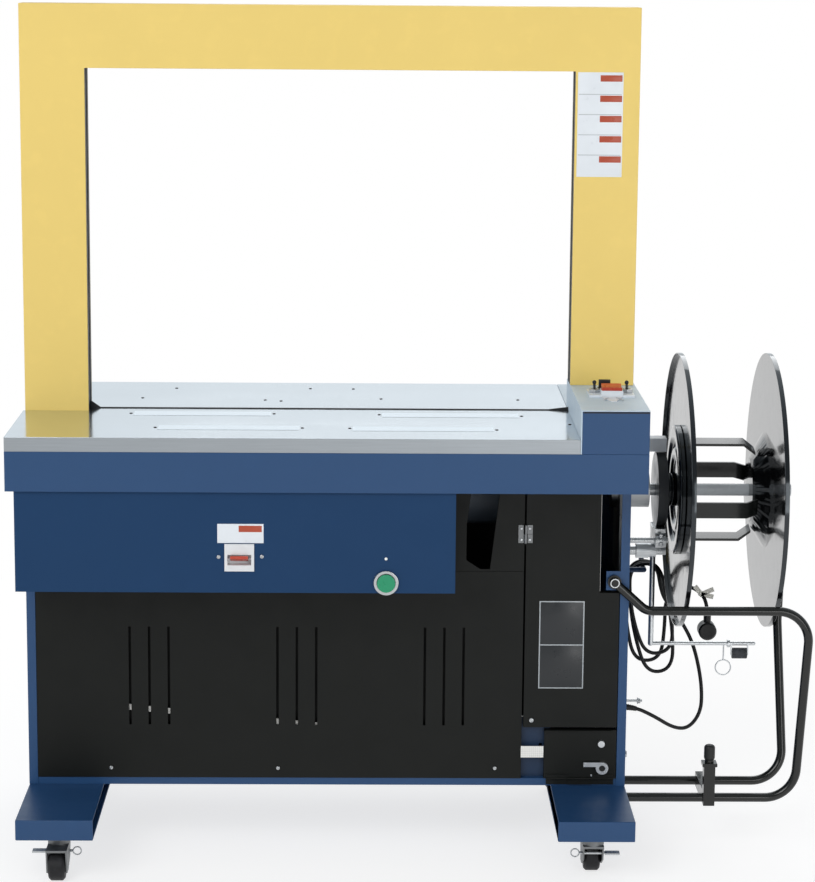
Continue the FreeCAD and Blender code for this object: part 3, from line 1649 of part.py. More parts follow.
def make_inner_flange():
    """The flange nearer the machine with its rolled lip, backing ring, plate and the four bars of the core."""
    disc_x = inner_disc_x
    skin = size.reel_sheet
    disc = reel_rod("inner_disc", disc_x, size.reel_radius, skin)
    lip = reel_ring("inner_lip", disc_x - size.reel_lip, size.reel_radius, size.reel_radius - skin,
                    size.reel_lip + skin)
    ring = reel_ring("core_ring", disc_x, size.ring_radius, size.ring_inner, size.ring_out + skin)
    plate = reel_rod("core_plate", disc_x + size.ring_out, size.plate_radius, skin)
    collar_x = drum_x + size.drum_wide + size.seat_gap
    collar = reel_rod("inner_collar", collar_x, size.hub_collar_radius, disc_x + size.plate_out - collar_x)
    bars = []
    for number in range(int(size.core_bars.value)):
        bar = body("core_bar", (0, size.reel_y, reel_z))
        lean(bar, ALONG, size.bar_turn + size.quarter_turn * number)
        half = size.bar_thick / 2
        outline = [
            (disc_x + size.ring_out, size.core_radius - half),
            (bar_bend_x, size.core_radius - half),
            (bar_end_x, size.bar_end_radius - half),
            (bar_end_x, size.bar_end_radius + half),
            (bar_bend_x + half / 2, size.core_radius + half),
            (disc_x + size.ring_out, size.core_radius + half),
        ]
        feature(bar, "Pad", sketch(bar, "XZ", outline, -size.bar_wide / 2), size.bar_wide)
        bars.append(bar)
    whole = fuse("inner_whole", disc, lip, ring, plate, collar, *bars)
    bore = reel_rod("inner_bore", collar_x - size.overrun, size.shaft_radius + size.shaft_gap,
                    inner_disc_x - collar_x + size.overrun * 4)
    node("inner_flange", cut("inner_flange", whole, bore))


def make_outer_flange():
    """The outer flange, with a hollow cone that centres the coil."""
    skin = size.reel_sheet
    disc_x = outer_disc_x
    cone_x = disc_x - size.cone_long
    spot = (cone_x, size.reel_y, reel_z)
    disc = reel_rod("outer_disc", disc_x, size.reel_radius, skin)
    lip = reel_ring("outer_lip", disc_x, size.reel_radius, size.reel_radius - skin, size.reel_lip + skin)
    cone = taper("cone", spot, size.cone_tip_radius, size.cone_base_radius, size.cone_long, "X")
    deep = skin * 2
    hollow = taper("cone_hollow", (cone_x + deep, size.reel_y, reel_z), size.cone_tip_radius,
                   size.cone_base_radius, size.cone_long, "X")
    collar = reel_rod("outer_collar", cone_x, size.hub_collar_radius, size.cone_long + skin)
    bore = reel_rod("outer_bore", cone_x - size.overrun, size.shaft_radius + size.shaft_gap,
                    size.cone_long + size.overrun * 3)
    shellwork = cut("outer_shell", fuse("outer_sheet", disc, lip, cone), hollow)
    node("outer_flange", cut("outer_flange", fuse("outer_whole", shellwork, collar), bore))


def make_brake_shoe():
    """The pivoted shoe whose hollow face lies under the drum."""
    boss = rod("shoe_boss", (shoe_x, size.brake_y, brake_z), size.shoe_boss_radius, size.shoe_wide, "X")
    shoe = block("shoe_block", (shoe_x, size.brake_y, shoe_low),
                 (shoe_x + size.shoe_wide, size.shoe_rear, shoe_low + size.shoe_high))
    face = reel_rod("shoe_face", shoe_x - size.overrun, size.drum_radius + size.shoe_gap,
                    size.shoe_wide + size.overrun * 2)
    bore = rod("shoe_bore", (shoe_x - size.overrun, size.brake_y, brake_z),
               size.brake_stud_radius + size.pin_gap, size.shoe_wide + size.overrun * 2, "X")
    node("brake_shoe", cut("brake_shoe", fuse("shoe", boss, shoe), face, bore))


def make_dancer():
    """The swinging arm that the strap lifts, with its cross rod, collar, wire eye and guide roller."""
    y = size.reel_y
    high, low = dancer_z, dancer_rod_z
    arm_x = dancer_arm_x
    hub = rod("dancer_hub", (dancer_hub_x, y, high), size.dancer_hub_radius, size.dancer_hub_wide, "X")
    arm_plate = rod("dancer_boss", (dancer_hub_x, y, high), size.dancer_stud_radius * 3 / 2,
                    arm_x + size.dancer_arm_radius - dancer_hub_x, "X")
    arm = rod("dancer_upright", (arm_x, y, low), size.dancer_arm_radius, high - low)
    knee = ball("dancer_knee", (arm_x, y, low), size.dancer_arm_radius)
    cross = rod("dancer_cross", (arm_x, y, low), size.dancer_rod_radius, dancer_rod_end_x - arm_x, "X")
    end = ball("dancer_end", (dancer_rod_end_x, y, low), size.dancer_rod_radius)
    collar = rod("dancer_collar", (dancer_collar_x, y, low), size.dancer_collar_radius,
                 size.dancer_collar_wide, "X")
    roller_z = low - size.roller_drop
    ears = [
        block("roller_ear", (start, y - size.dancer_rod_radius, roller_z - size.dancer_rod_radius),
              (start + size.roller_ear, y + size.dancer_rod_radius, low))
        for start in (roller_x - size.roller_ear, roller_x + size.roller_long)
    ]
    pin = rod("roller_pin", (roller_x - size.roller_ear, y, roller_z), size.roller_pin_radius,
              size.roller_long + size.roller_ear * 2, "X")
    eye_z = low - size.eye_drop
    eye = wire_ring("strap_eye", (eye_x, y, eye_z), size.eye_radius, size.eye_wire, "Y")
    stem = rod("eye_stem", (eye_x, y, eye_z + size.eye_radius), size.eye_wire, size.eye_drop - size.eye_radius)
    bore = rod("dancer_bore", (dancer_hub_x - size.overrun, y, high), size.dancer_stud_radius + size.pin_gap,
               size.dancer_hub_wide + size.overrun * 4, "X")
    whole = fuse("dancer_whole", hub, arm_plate, arm, knee, cross, end, collar, pin, eye, stem, *ears)
    node("dancer_arm", cut("dancer_arm", whole, bore))
    start = roller_x + size.seat_gap
    roller = rod("roller", (start, y, roller_z), size.roller_radius, size.roller_long - size.seat_gap * 2, "X")
    roller_bore = rod("roller_bore", (roller_x - size.overrun, y, roller_z),
                      size.roller_pin_radius + size.pin_gap, size.roller_long + size.overrun * 2, "X")
    node("dancer_roller", cut("dancer_roller", roller, roller_bore))


# Bent tubes and cords


def bent_line(points, bends):
    """A line through the points, with each inner corner rounded by its bend radius."""
    corners = [Vector(*(float(number) for number in point)) for point in points]
    pieces = []
    start = corners[0]
    for before, corner, after, bend in zip(corners, corners[1:], corners[2:], bends):
        inward = (corner - before).normalize()
        outward = (after - corner).normalize()
        turn = inward.getAngle(outward)
        reach = float(bend) * math.tan(turn / 2)
        first = corner - inward * reach
        last = corner + outward * reach
        centre_way = (outward - inward).normalize()
        middle = corner + centre_way * (float(bend) / math.cos(turn / 2) - float(bend))
        pieces.append(Part.LineSegment(start, first).toShape())
        pieces.append(Part.Arc(first, middle, last).toShape())
        start = last
    pieces.append(Part.LineSegment(start, corners[-1]).toShape())
    return Part.Wire(pieces)


def sweep(line, radius):
    """A round bar along a line."""
    start = line.Edges[0]
    way = start.tangentAt(start.FirstParameter)
    profile = Part.Wire([Part.makeCircle(float(radius), start.valueAt(start.FirstParameter), way)])
    solid = line.makePipeShell([profile], True, False)
    wanted = line.Length * math.pi * float(radius) ** 2
    if abs(solid.Volume - wanted) > wanted / float(size.full_turn):
        raise ValueError("a swept tube has lost part of its volume")
    return solid


def pipe(points, bends, radius, wall):
    """A bent tube with a wall, open at both ends."""
    line = bent_line(points, bends)
    return sweep(line, radius).cut(sweep(line, float(radius) - float(wall)))


def solid_rod(start, radius, length, way):
    spot = Vector(*(float(number) for number in start))
    return Part.makeCylinder(float(radius), float(length), spot, way)


def make_guard_tubes():
    """The two bent tubes that guard the reel and carry its outer end."""
    y = guard_front_y
    low = size.guard_low_z
    small, large = size.guard_small_bend, size.guard_bend
    front = pipe(
        [
            (guard_end_x, y, size.guard_end_z),
            (guard_dip_x, y, size.guard_top_z),
            (guard_top_x, y, size.guard_top_z),
            (guard_foot_x, y, low),
            (cabinet_half, y, low),
        ],
        [small, large, large],
        size.guard_radius,
        size.guard_wall,
    )
    face = -size.cabinet_front - size.guard_radius
    eye = solid_rod((guard_end_x, face, size.guard_end_z), size.guard_eye_radius, size.guard_radius,
                    Vector(0, 1, 0))
    hole = solid_rod((guard_end_x, face - size.overrun, size.guard_end_z), size.guard_eye_hole,
                     size.guard_radius + size.overrun * 2, Vector(0, 1, 0))
    shaped("guard_tube_front", front.fuse(eye).cut(hole))

    rear = pipe(
        [
            (cabinet_half, -size.rear_guard_y, low),
            (rear_guard_x, -size.rear_guard_y, low),
            (rear_guard_waist_x, size.rear_guard_waist_y, size.rear_guard_waist_z),
            (rear_eye_x + size.rear_eye_long / 2, size.reel_y, reel_z - size.shaft_radius),
        ],
        [large, size.guard_bend * 2],
        size.guard_radius,
        size.guard_wall,
    )
    spot = (rear_eye_x, size.reel_y, reel_z)
    ring = solid_rod(spot, size.rear_eye_radius, size.rear_eye_long, ALONG)
    bore = solid_rod((rear_eye_x - size.overrun, size.reel_y, reel_z),
                     size.shaft_radius + size.shaft_gap, size.rear_eye_long + size.overrun * 2, ALONG)
    shaped("guard_tube_rear", rear.fuse(ring).cut(bore))


def make_guard_clamp():
    """The block that ties the two tubes together, with a capped post."""
    left, right = clamp_x, clamp_x + size.clamp_wide
    reach = size.guard_radius + size.clamp_over
    front = guard_front_y - reach
    rear = -size.rear_guard_y + reach
    low = size.clamp_low
    high = size.guard_low_z + size.guard_radius + size.clamp_over
    base = block("clamp_base", (left, front, low), (right, rear, high))
    post = block("clamp_post", (left, front, low), (right, front + size.clamp_wide, size.clamp_high))
    collar = block(
        "clamp_collar",
        (left - size.clamp_collar_out, front - size.clamp_collar_out, size.clamp_high - size.clamp_collar),
        (right + size.clamp_collar_out, front + size.clamp_wide + size.clamp_collar_out, size.clamp_high),
    )
    cap = rod("clamp_cap", (left + size.clamp_wide / 2, front + size.clamp_wide / 2, size.clamp_high),
              size.clamp_cap_radius, size.clamp_cap_high)
    bores = [
        rod("clamp_bore", (left - size.overrun, y, size.guard_low_z), size.guard_radius + size.clamp_fit,
            size.clamp_wide + size.overrun * 2, "X")
        for y in (guard_front_y, -size.rear_guard_y)
    ]
    node("guard_clamp", cut("guard_clamp", fuse("clamp_whole", base, post, collar, cap), *bores))


def eased(points):
    """The bend radius at each inner corner, from the shorter of the two runs that meet there."""
    corners = [Vector(*(float(number) for number in point)) for point in points]
    bends = []
    for before, corner, after in zip(corners, corners[1:], corners[2:]):
        inward, outward = corner - before, after - corner
        shorter = min(inward.Length, outward.Length)
        bends.append(BEND_SHARE * shorter / math.tan(inward.getAngle(outward) / 2))
    return bends


def self_gap(line, radius):
    """The smallest gap between parts of a cord that lie apart along its length."""
    step = float(radius)
    spots_along = line.discretize(Distance=step)
    apart = int(float(radius) * math.pi * 4 / step)
    gap = line.Length
    for index, spot in enumerate(spots_along):
        for other in spots_along[index + apart:]:
            gap = min(gap, spot.distanceToPoint(other))
    return gap - float(radius) * 2


def cord(name, points):
    """A round cord along the eased route."""
    bends = eased(points)
    line = bent_line(points, bends)
    item = shaped(name, sweep(line, size.cord_radius))
    print(name, "length", round(line.Length), "smallest bend", round(min(bends), 1),
          "own gap", round(self_gap(line, size.cord_radius), 1))
    return item


def lead_points():
    """The route from the gland down, round and up towards the hook."""
    return [
        (cabinet_half + size.lead_wide * x, size.gland_y + size.lead_deep * y, size.gland_z + size.lead_high * z)
        for x, y, z in LEAD_SHARES
    ]


def hank_points():
    """The loops over the hook, one after the other, each a step further along it."""
    top_z = size.hook_z + size.hook_radius + size.cord_radius + size.hank_rest_gap
    lead_y = size.gland_y + size.lead_deep
    first_angle = size.hank_fan * HANK_LEAN_SHARES[0]
    points = [(
        hook_x + size.hank_top_half * cosine(first_angle),
        lead_y,
        top_z + size.hank_top_half * sine(first_angle),
    )]
    for turn, (drop, leaning) in enumerate(zip(HANK_DROP_SHARES, HANK_LEAN_SHARES), start=1):
        long = size.hank_long * drop
        angle = size.hank_fan * leaning
        y = lead_y + size.hank_step * turn
        outline = [
            (-size.hank_top_half, 0),
            (-size.hank_side_half, -long / 3),
            (-size.hank_side_half, -long * 2 / 3),
            (-size.hank_top_half, -long),
            (size.hank_top_half, -long),
            (size.hank_side_half, -long * 2 / 3),
        ]
        if turn < len(HANK_DROP_SHARES):
            outline += [(size.hank_side_half, -long / 3), (size.hank_top_half, 0)]
        for across, up in outline:
            points.append((
                hook_x + across * cosine(angle) - up * sine(angle),
                y,
                top_z + across * sine(angle) + up * cosine(angle),
            ))
    return points


def make_cord():
    """The power cord from its gland, the hank over the hook and the plug at its end."""
    wall_x = cabinet_half - size.cabinet_sheet
    nut_x = cabinet_half
    spot = (nut_x, size.gland_y, size.gland_z)
    thread = rod("gland_thread", (wall_x - size.gland_nut, size.gland_y, size.gland_z), size.gland_hole,
                 nut_x - wall_x + size.gland_nut, "X")
    lock = hexagon("gland_lock", (wall_x - size.gland_nut, size.gland_y, size.gland_z), size.gland_nut_radius,
                   size.gland_nut, "X")
    nut = hexagon("gland_nut", spot, size.gland_nut_radius, size.gland_nut, "X")
    dome = rod("gland_dome", spot, size.gland_radius, size.gland_long, "X")
    bore = rod("gland_bore", (wall_x - size.overrun * 2, size.gland_y, size.gland_z), size.gland_bore,
               size.overrun * 6, "X")
    node("cord_gland", cut("cord_gland", fuse("gland", thread, lock, nut, dome), bore))

    lead = lead_points()
    halfway = tuple((first + second) / 2 for first, second in zip(lead[-2], lead[-1]))
    start = (cabinet_half - size.cord_inside, size.gland_y, size.gland_z)
    cord("power_cord", [start] + lead[:-1] + [halfway])
    tail = [
        (plug_x + size.tail_wide * x, size.plug_y + size.tail_deep * y, size.plug_z + size.tail_high * z)
        for x, y, z in TAIL_SHARES
    ]
    cord("cord_hank", [halfway, lead[-1]] + hank_points() + tail)

    half = size.plug_deep / 2
    edge = size.plug_edge
    centre = (plug_x, size.plug_y - half + edge, size.plug_z)
    case = rod("plug_case", centre, size.plug_radius, size.plug_deep - edge, "Y")
    face = taper("plug_face", (plug_x, size.plug_y - half, size.plug_z), size.plug_radius - edge,
                 size.plug_radius, edge, "Y")
    neck = rod("plug_neck", (plug_x, size.plug_y, size.plug_z), size.plug_neck_radius, size.plug_neck_high)
    socket = rod("plug_socket", (plug_x, size.plug_y, size.plug_z + size.plug_neck_high - size.plug_neck_bore),
                 size.gland_bore, size.plug_neck_bore + size.overrun)
    pins = []
    for number in range(3):
        angle = size.quarter_turn + size.full_turn / 3 * number
        pins.append(rod(
            "plug_pin",
            (plug_x + size.plug_pin_circle * cosine(angle), size.plug_y + half,
             size.plug_z + size.plug_pin_circle * sine(angle)),
            size.plug_pin_radius, size.plug_pin_long, "Y",
        ))
    node("plug", cut("plug", fuse("plug_whole", case, face, neck, *pins), socket))


# Strap pool, strapping head and feed


def make_inside():
    sheet_thick = size.pool_sheet
    floor = cabinet_low + size.pan_sheet
    left = size.pool_side_gap - cabinet_half
    right = front_panel_right - size.pool_panel_gap
    node("strap_pool_box", shell(
        "strap_pool_box",
        (left, -size.pool_front, floor),
        (right, -size.pool_front + size.pool_deep, floor + size.pool_high),
        (left + sheet_thick, -size.pool_front + sheet_thick, floor + sheet_thick),
        (right - sheet_thick, -size.pool_front + size.pool_deep - sheet_thick,
         floor + size.pool_high + size.overrun),
    ))
    make_head_frame()
    make_drive()


feed_y = arch_middle - size.feed_wide / 2
feed_plate_y = arch_middle + size.feed_plate_gap
pinch_x = -size.feed_x - size.feed_radius - size.pinch_radius - size.feed_gap
bed_low = band_low + size.frame_sheet + size.bar_high


def make_head_frame():
    """The bars across the table frame, the bed of the strapping head, its bearing plates and the feed plate."""
    wall = size.frame_sheet + size.seat_gap
    parts = [
        block("head_bar", (start, -size.table_front + wall, band_low + size.frame_sheet),
              (start + size.bar_across, size.table_rear - wall, bed_low))
        for start in (-size.bed_left, size.bed_right - size.bar_across)
    ]
    parts.append(block("head_bed", (-size.bed_left, -size.bed_front, bed_low),
                       (size.bed_right, size.bed_rear, bed_low + size.bed_thick)))
    for start in (-size.bearing_half - size.bearing_plate / 2, size.bearing_half - size.bearing_plate / 2):
        parts.append(block("bearing", (start, -size.bearing_front, size.bearing_low),
                           (start + size.bearing_plate, size.bearing_rear, bed_low)))
    parts.append(block(
        "feed_plate",
        (-size.bed_left, feed_plate_y, size.feed_plate_low),
        (-size.feed_plate_right, feed_plate_y + size.feed_plate_thick, bed_low),
    ))
    for centre in (-size.feed_x, pinch_x):
        parts.append(rod("feed_pin", (centre, feed_plate_y - size.feed_pin_long, size.feed_z),
                         size.feed_pin_radius, size.feed_pin_long, "Y"))
        parts.append(rod("feed_spacer", (centre, feed_y + size.feed_wide + size.seat_gap, size.feed_z),
                         size.feed_pin_radius * 3 / 2, feed_plate_y - feed_y - size.feed_wide - size.seat_gap, "Y"))
    bore = rod("cam_bore", (-size.bearing_half * 2, arch_middle, size.cam_z),
               size.cam_shaft_radius + size.shaft_gap, size.bearing_half * 4, "X")
    node("head_frame", cut("head_frame", fuse("head", *parts), bore))


def make_drive():
    """The motor with its gearbox, the cam shaft that it turns and the two feed rollers."""
    shaft_start = -size.bearing_half - size.cam_shaft_out
    shaft_long = (size.bearing_half + size.cam_shaft_out) * 2
    parts = [rod("cam_bar", (shaft_start, arch_middle, size.cam_z), size.cam_shaft_radius, shaft_long, "X")]
    count = int(size.cams.value)
    for number in range(count):
        place = size.cam_pitch * (number - (count - 1) / 2) - size.cam_thick / 2
        angle = size.full_turn / size.cams * number
        parts.append(rod(
            "cam",
            (place, arch_middle + size.cam_offset * cosine(angle), size.cam_z + size.cam_offset * sine(angle)),
            size.cam_radius, size.cam_thick, "X",
        ))
    node("cam_shaft", fuse("cam_shaft", *parts))

    start = size.bearing_half + size.bearing_plate / 2
    gearbox = block(
        "gearbox",
        (start, arch_middle - size.gearbox_half, size.cam_z - size.gearbox_half),
        (start + size.gearbox_long, arch_middle + size.gearbox_half, size.cam_z + size.gearbox_half),
    )
    motor = rod("motor", (start + size.gearbox_long, arch_middle, size.cam_z), size.motor_radius,
                size.motor_long, "X")
    bore = rod("gearbox_bore", (start - size.overrun, arch_middle, size.cam_z),
               size.cam_shaft_radius + size.shaft_gap, size.cam_shaft_out + size.overrun + size.seat_gap, "X")
    node("main_motor", cut("main_motor", fuse("motor_whole", gearbox, motor), bore))

    for name, centre, radius in (("feed_roller", -size.feed_x, size.feed_radius),
                                 ("pinch_roller", pinch_x, size.pinch_radius)):
        roller = rod(f"{name}_rim", (centre, feed_y, size.feed_z), radius, size.feed_wide, "Y")
        hole = rod(f"{name}_bore", (centre, feed_y - size.overrun, size.feed_z),
                   size.feed_pin_radius + size.pin_gap, size.feed_wide + size.overrun * 2, "Y")
        node(name, cut(name, roller, hole))


# Build, check and write


def build():
    make_feet()
    make_base_pan()
    make_side_panel(-1, "side_panel_left")
    make_side_panel(1, "side_panel_right")
    make_rear_panel()
    make_front_panel()
    make_hinge_panel()
    make_door()
    make_door_hinge()
    make_pool_door()
    make_pool_latch()
    make_table_frame()
    make_table()
    make_corner_block()
    make_corner_cover()
    make_arch_leg(-1, "arch_leg_left", band_top)
    make_arch_leg(1, "arch_leg_right", block_top)
    make_arch_beam()
    make_strap_track()
    make_electrical_box()
    make_breaker()
    make_breaker_toggle()
    make_start_button()
    make_switches()
    make_castors()
    make_hub_tube()
    make_reel_shaft()
    make_inner_flange()
    make_outer_flange()
    make_brake_shoe()
    make_dancer()
    make_guard_tubes()
    make_guard_clamp()
    make_cord()
    make_inside()
    document.recompute()


def check():
    """Stop when an object reports a fault or a sub-part has no sound shape."""
    for item in document.Objects:
        if "Invalid" in item.State or "Error" in item.State:
            raise ValueError(f"{item.Label} is {item.State}")
    for item in made:
        if item.Shape.isNull() or not item.Shape.isValid():
            raise ValueError(f"{item.Label} has no sound shape")


def write():
    os.makedirs("parts", exist_ok=True)
    for item in made:
        item.Shape.exportStep(f"parts/{item.Label}.step")


build()
check()
write()
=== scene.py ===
"""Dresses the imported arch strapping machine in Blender: paint, metal, plastic, cord, fittings and studio."""

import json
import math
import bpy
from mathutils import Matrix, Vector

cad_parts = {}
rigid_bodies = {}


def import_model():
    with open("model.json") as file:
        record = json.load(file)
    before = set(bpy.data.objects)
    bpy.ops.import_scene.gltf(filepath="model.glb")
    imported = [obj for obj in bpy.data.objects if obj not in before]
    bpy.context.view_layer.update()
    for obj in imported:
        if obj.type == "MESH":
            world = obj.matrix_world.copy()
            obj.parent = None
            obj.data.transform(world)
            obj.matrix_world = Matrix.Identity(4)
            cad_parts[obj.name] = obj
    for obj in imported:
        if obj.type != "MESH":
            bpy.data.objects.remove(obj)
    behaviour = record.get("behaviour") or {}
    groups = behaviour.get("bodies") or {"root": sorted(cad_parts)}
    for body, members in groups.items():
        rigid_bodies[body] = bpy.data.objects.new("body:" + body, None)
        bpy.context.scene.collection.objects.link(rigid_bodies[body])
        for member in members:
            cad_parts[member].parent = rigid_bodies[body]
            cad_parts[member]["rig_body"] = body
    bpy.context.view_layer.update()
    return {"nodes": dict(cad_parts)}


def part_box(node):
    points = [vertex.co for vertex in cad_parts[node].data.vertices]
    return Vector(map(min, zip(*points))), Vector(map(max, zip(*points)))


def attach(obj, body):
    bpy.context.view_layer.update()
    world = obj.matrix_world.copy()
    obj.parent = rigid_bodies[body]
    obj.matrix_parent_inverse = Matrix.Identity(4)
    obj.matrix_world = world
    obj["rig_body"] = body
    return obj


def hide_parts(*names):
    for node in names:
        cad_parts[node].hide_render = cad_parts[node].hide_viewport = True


bl_info = {
    "name": "Arch strapping machine",
    "version": (1, 0, 0),
    "blender": (4, 5, 0),
    "location": "View3D > Sidebar > Strapping",
    "description": "Dresses the packed strapping machine with its finishes, fittings, cord and studio",
    "category": "Object",
}

import bpy
from mathutils import Matrix, Vector

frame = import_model()

MM = 0.001
STRAP_PLANE = 50 * MM


def frame_origin():
    """The point on the floor below the arch's middle, in front of the strap by its plane's depth."""
    low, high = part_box("arch_beam")
    return Vector(((low.x + high.x) / 2, (low.y + high.y) / 2 - STRAP_PLANE, 0))


ORIGIN = frame_origin()


def at(across, depth, height):
    """A place in the machine's own millimetres, as a point of the frame in metres."""
    return ORIGIN + Vector((across, depth, height)) * MM


def linear(hex_colour):
    """The linear colour of an sRGB hex value."""
    parts = [int(hex_colour[i : i + 2], 16) / 255 for i in (1, 3, 5)]
    lit = [p / 12.92 if p <= 0.04045 else ((p + 0.055) / 1.055) ** 2.4 for p in parts]
    return (*lit, 1.0)


def colour(name, description, hex_colour):
    """A colour that a user may change."""
    return bpy.props.FloatVectorProperty(
        name=name, description=description, subtype="COLOR", size=4, min=0, max=1, default=linear(hex_colour)
    )


def length(name, description, millimetres):
    """A length that a user may change, in metres."""
    return bpy.props.FloatProperty(
        name=name, description=description, subtype="DISTANCE", unit="LENGTH", min=0, default=millimetres * MM
    )


class StrapperColours(bpy.types.PropertyGroup):
    blue: colour("Blue paint", "Powder paint of the cabinet frame, box and feet", "#214670")
    yellow: colour("Yellow paint", "Powder paint of the arch", "#EACD74")
    black: colour("Black paint", "Powder paint of the panels, door and guard tubes", "#101210")
    reel: colour("Reel enamel", "Gloss enamel of the reel flanges", "#0B0C0E")
    pale: colour("Pale cover", "Satin paint of the cover plate over the corner block", "#C4D4E0")
    steel: colour("Stainless steel", "Brushed sheet of the table", "#CFD6DC")
    zinc: colour("Zinc plate", "Bright plating of small fittings", "#C4C7C9")
    button: colour("Start button", "Moulded cap of the start button", "#1F9166")
    signal: colour("Signal red", "Moulded levers of the breaker and the rocker", "#B8402A")
    orange: colour("Rocker orange", "Moulded rocker of the switch plate", "#CC5A34")
    ivory: colour("Ivory plastic", "Moulded body of the breaker", "#DEE0E2")
    card: colour("Blank plate", "Printed film of the blank plates, with nothing on it", "#E4E9EE")


class StrapperSizes(bpy.types.PropertyGroup):
    fold: length("Fold radius", "Radius of the folded sheet's edges", 1.6)
    edge: length("Edge radius", "Radius of cut sheet and moulded edges", 0.7)
    screw: length("Screw head", "Radius of a panel screw's head", 4.2)
    cord: length("Cord diameter", "Diameter of the mains lead", 7)
    plate: length("Plate thickness", "Thickness of the blank plates", 0.5)
    strap: length("Strap thickness", "Thickness of the strap and of the glide strips", 0.8)


def add_node(tree, kind, settings=None, links=None):
    """Adds one node of a material, with its settings, sockets and links."""
    node = tree.nodes.new("ShaderNode" + kind)
    for name, value in (settings or {}).items():
        if name[0].islower():
            setattr(node, name, value)
        else:
            open_socket(node, name).default_value = value
    for name, source in (links or {}).items():
        tree.links.new(source, open_socket(node, name))
    return node


def open_socket(node, name):
    """The input of that name that the node's present kind uses."""
    return next(s for s in node.inputs if s.name == name and s.enabled)


def open_output(node, name):
    """The output of that name that the node's present kind uses."""
    return next(s for s in node.outputs if s.name == name and s.enabled)


def start_material(name):
    """A new material, its tree, its shader and the piece's own coordinates."""
    made = bpy.data.materials.new(name)
    made.use_nodes = True
    tree = made.node_tree
    place = add_node(tree, "TexCoord")
    return tree, tree.nodes["Principled BSDF"], place.outputs["Object"]


def set_shader(shader, **values):
    """Sets the shader's own sockets, named with underscores for spaces."""
    for name, value in values.items():
        shader.inputs[name.replace("_", " ")].default_value = value


def shade(rgba, factor):
    """A lighter or darker form of a colour."""
    return (*(min(1, c * factor) for c in rgba[:3]), 1)


def noise(tree, place, millimetres, detail=3, stretch=None):
    """Cloud noise of a real size in millimetres, drawn out along the axes by stretch."""
    if stretch:
        place = add_node(
            tree, "Mapping", {"vector_type": "TEXTURE", "Scale": stretch}, {"Vector": place}
        ).outputs["Vector"]
    settings = {"Scale": 1 / (millimetres * MM), "Detail": detail}
    return add_node(tree, "TexNoise", settings, {"Vector": place}).outputs["Fac"]


def spread(tree, source, low, high, start=0.3, end=0.7):
    """Maps the noise's middle range onto a range of values."""
    settings = {"From Min": start, "From Max": end, "To Min": low, "To Max": high}
    return add_node(tree, "MapRange", settings, {"Value": source}).outputs["Result"]


def tint(tree, factor, first, second):
    """A colour between two, chosen by a factor."""
    settings = {"data_type": "RGBA", "A": first, "B": second}
    return open_output(add_node(tree, "Mix", settings, {"Factor": factor}), "Result")


def relief(tree, height, depth, strength=0.4):
    """Raises the surface by a height in millimetres."""
    settings = {"Strength": strength, "Distance": depth * MM}
    return add_node(tree, "Bump", settings, {"Height": height}).outputs["Normal"]


def powder_paint(name, rgba, rough, peel=2.4, level=0.4):
    """Powder paint is a baked film: an orange-peel skin, soft gloss and a slightly uneven tone."""
    tree, shader, place = start_material(name)
    set_shader(shader, IOR=1.5, Specular_IOR_Level=level)
    cloud = noise(tree, place, 160, 4)
    dust = spread(tree, noise(tree, place, 34, 6), 0, 0.4, 0.52, 0.8)
    base = tint(tree, cloud, shade(rgba, 0.97), shade(rgba, 1.03))
    settings = {"data_type": "RGBA", "B": shade(rgba, 1.09)}
    dusty = add_node(tree, "Mix", settings, {"Factor": dust, "A": base})
    tree.links.new(open_output(dusty, "Result"), shader.inputs["Base Color"])
    sheen = spread(tree, noise(tree, place, 55), rough - 0.05, rough + 0.07)
    tree.links.new(sheen, shader.inputs["Roughness"])
    # The real peel is about 1 mm across; it is drawn coarser, so that it shows in the render.
    tree.links.new(relief(tree, noise(tree, place, peel, 2), 0.05, 0.25), shader.inputs["Normal"])


def brushed_steel(name, rgba, rough, stretch, grain=1.6):
    """Brushed stainless sheet: long fine scratches one way, which blur what it mirrors along the grain."""
    tree, shader, place = start_material(name)
    set_shader(shader, Metallic=1, Anisotropic=0.3)
    # The real scratches are about 0.1 mm wide; they are drawn 1.6 mm wide, so that they show.
    scratches = noise(tree, place, grain, 4, stretch)
    stain = noise(tree, place, 120, 5)
    wiped = tint(tree, stain, shade(rgba, 0.93), shade(rgba, 1.05))
    settings = {"data_type": "RGBA", "B": shade(rgba, 0.88)}
    scored = add_node(
        tree, "Mix", settings, {"Factor": spread(tree, scratches, 0, 0.45), "A": wiped}
    )
    tree.links.new(open_output(scored, "Result"), shader.inputs["Base Color"])
    tree.links.new(spread(tree, scratches, rough, rough + 0.08), shader.inputs["Roughness"])
    tree.links.new(relief(tree, scratches, 0.01, 0.12), shader.inputs["Normal"])


def plated_steel(name, rgba, rough, blotch=22):
    """Bright zinc plate or turned steel: a clean metal with cloudy patches where fingers dulled it."""
    tree, shader, place = start_material(name)
    set_shader(shader, Metallic=1)
    cloud = noise(tree, place, blotch, 4)
    tree.links.new(tint(tree, cloud, shade(rgba, 0.8), shade(rgba, 1.06)), shader.inputs["Base Color"])
    tree.links.new(spread(tree, cloud, rough, rough + 0.16), shader.inputs["Roughness"])
    tree.links.new(relief(tree, noise(tree, place, 1.8, 2), 0.03, 0.2), shader.inputs["Normal"])


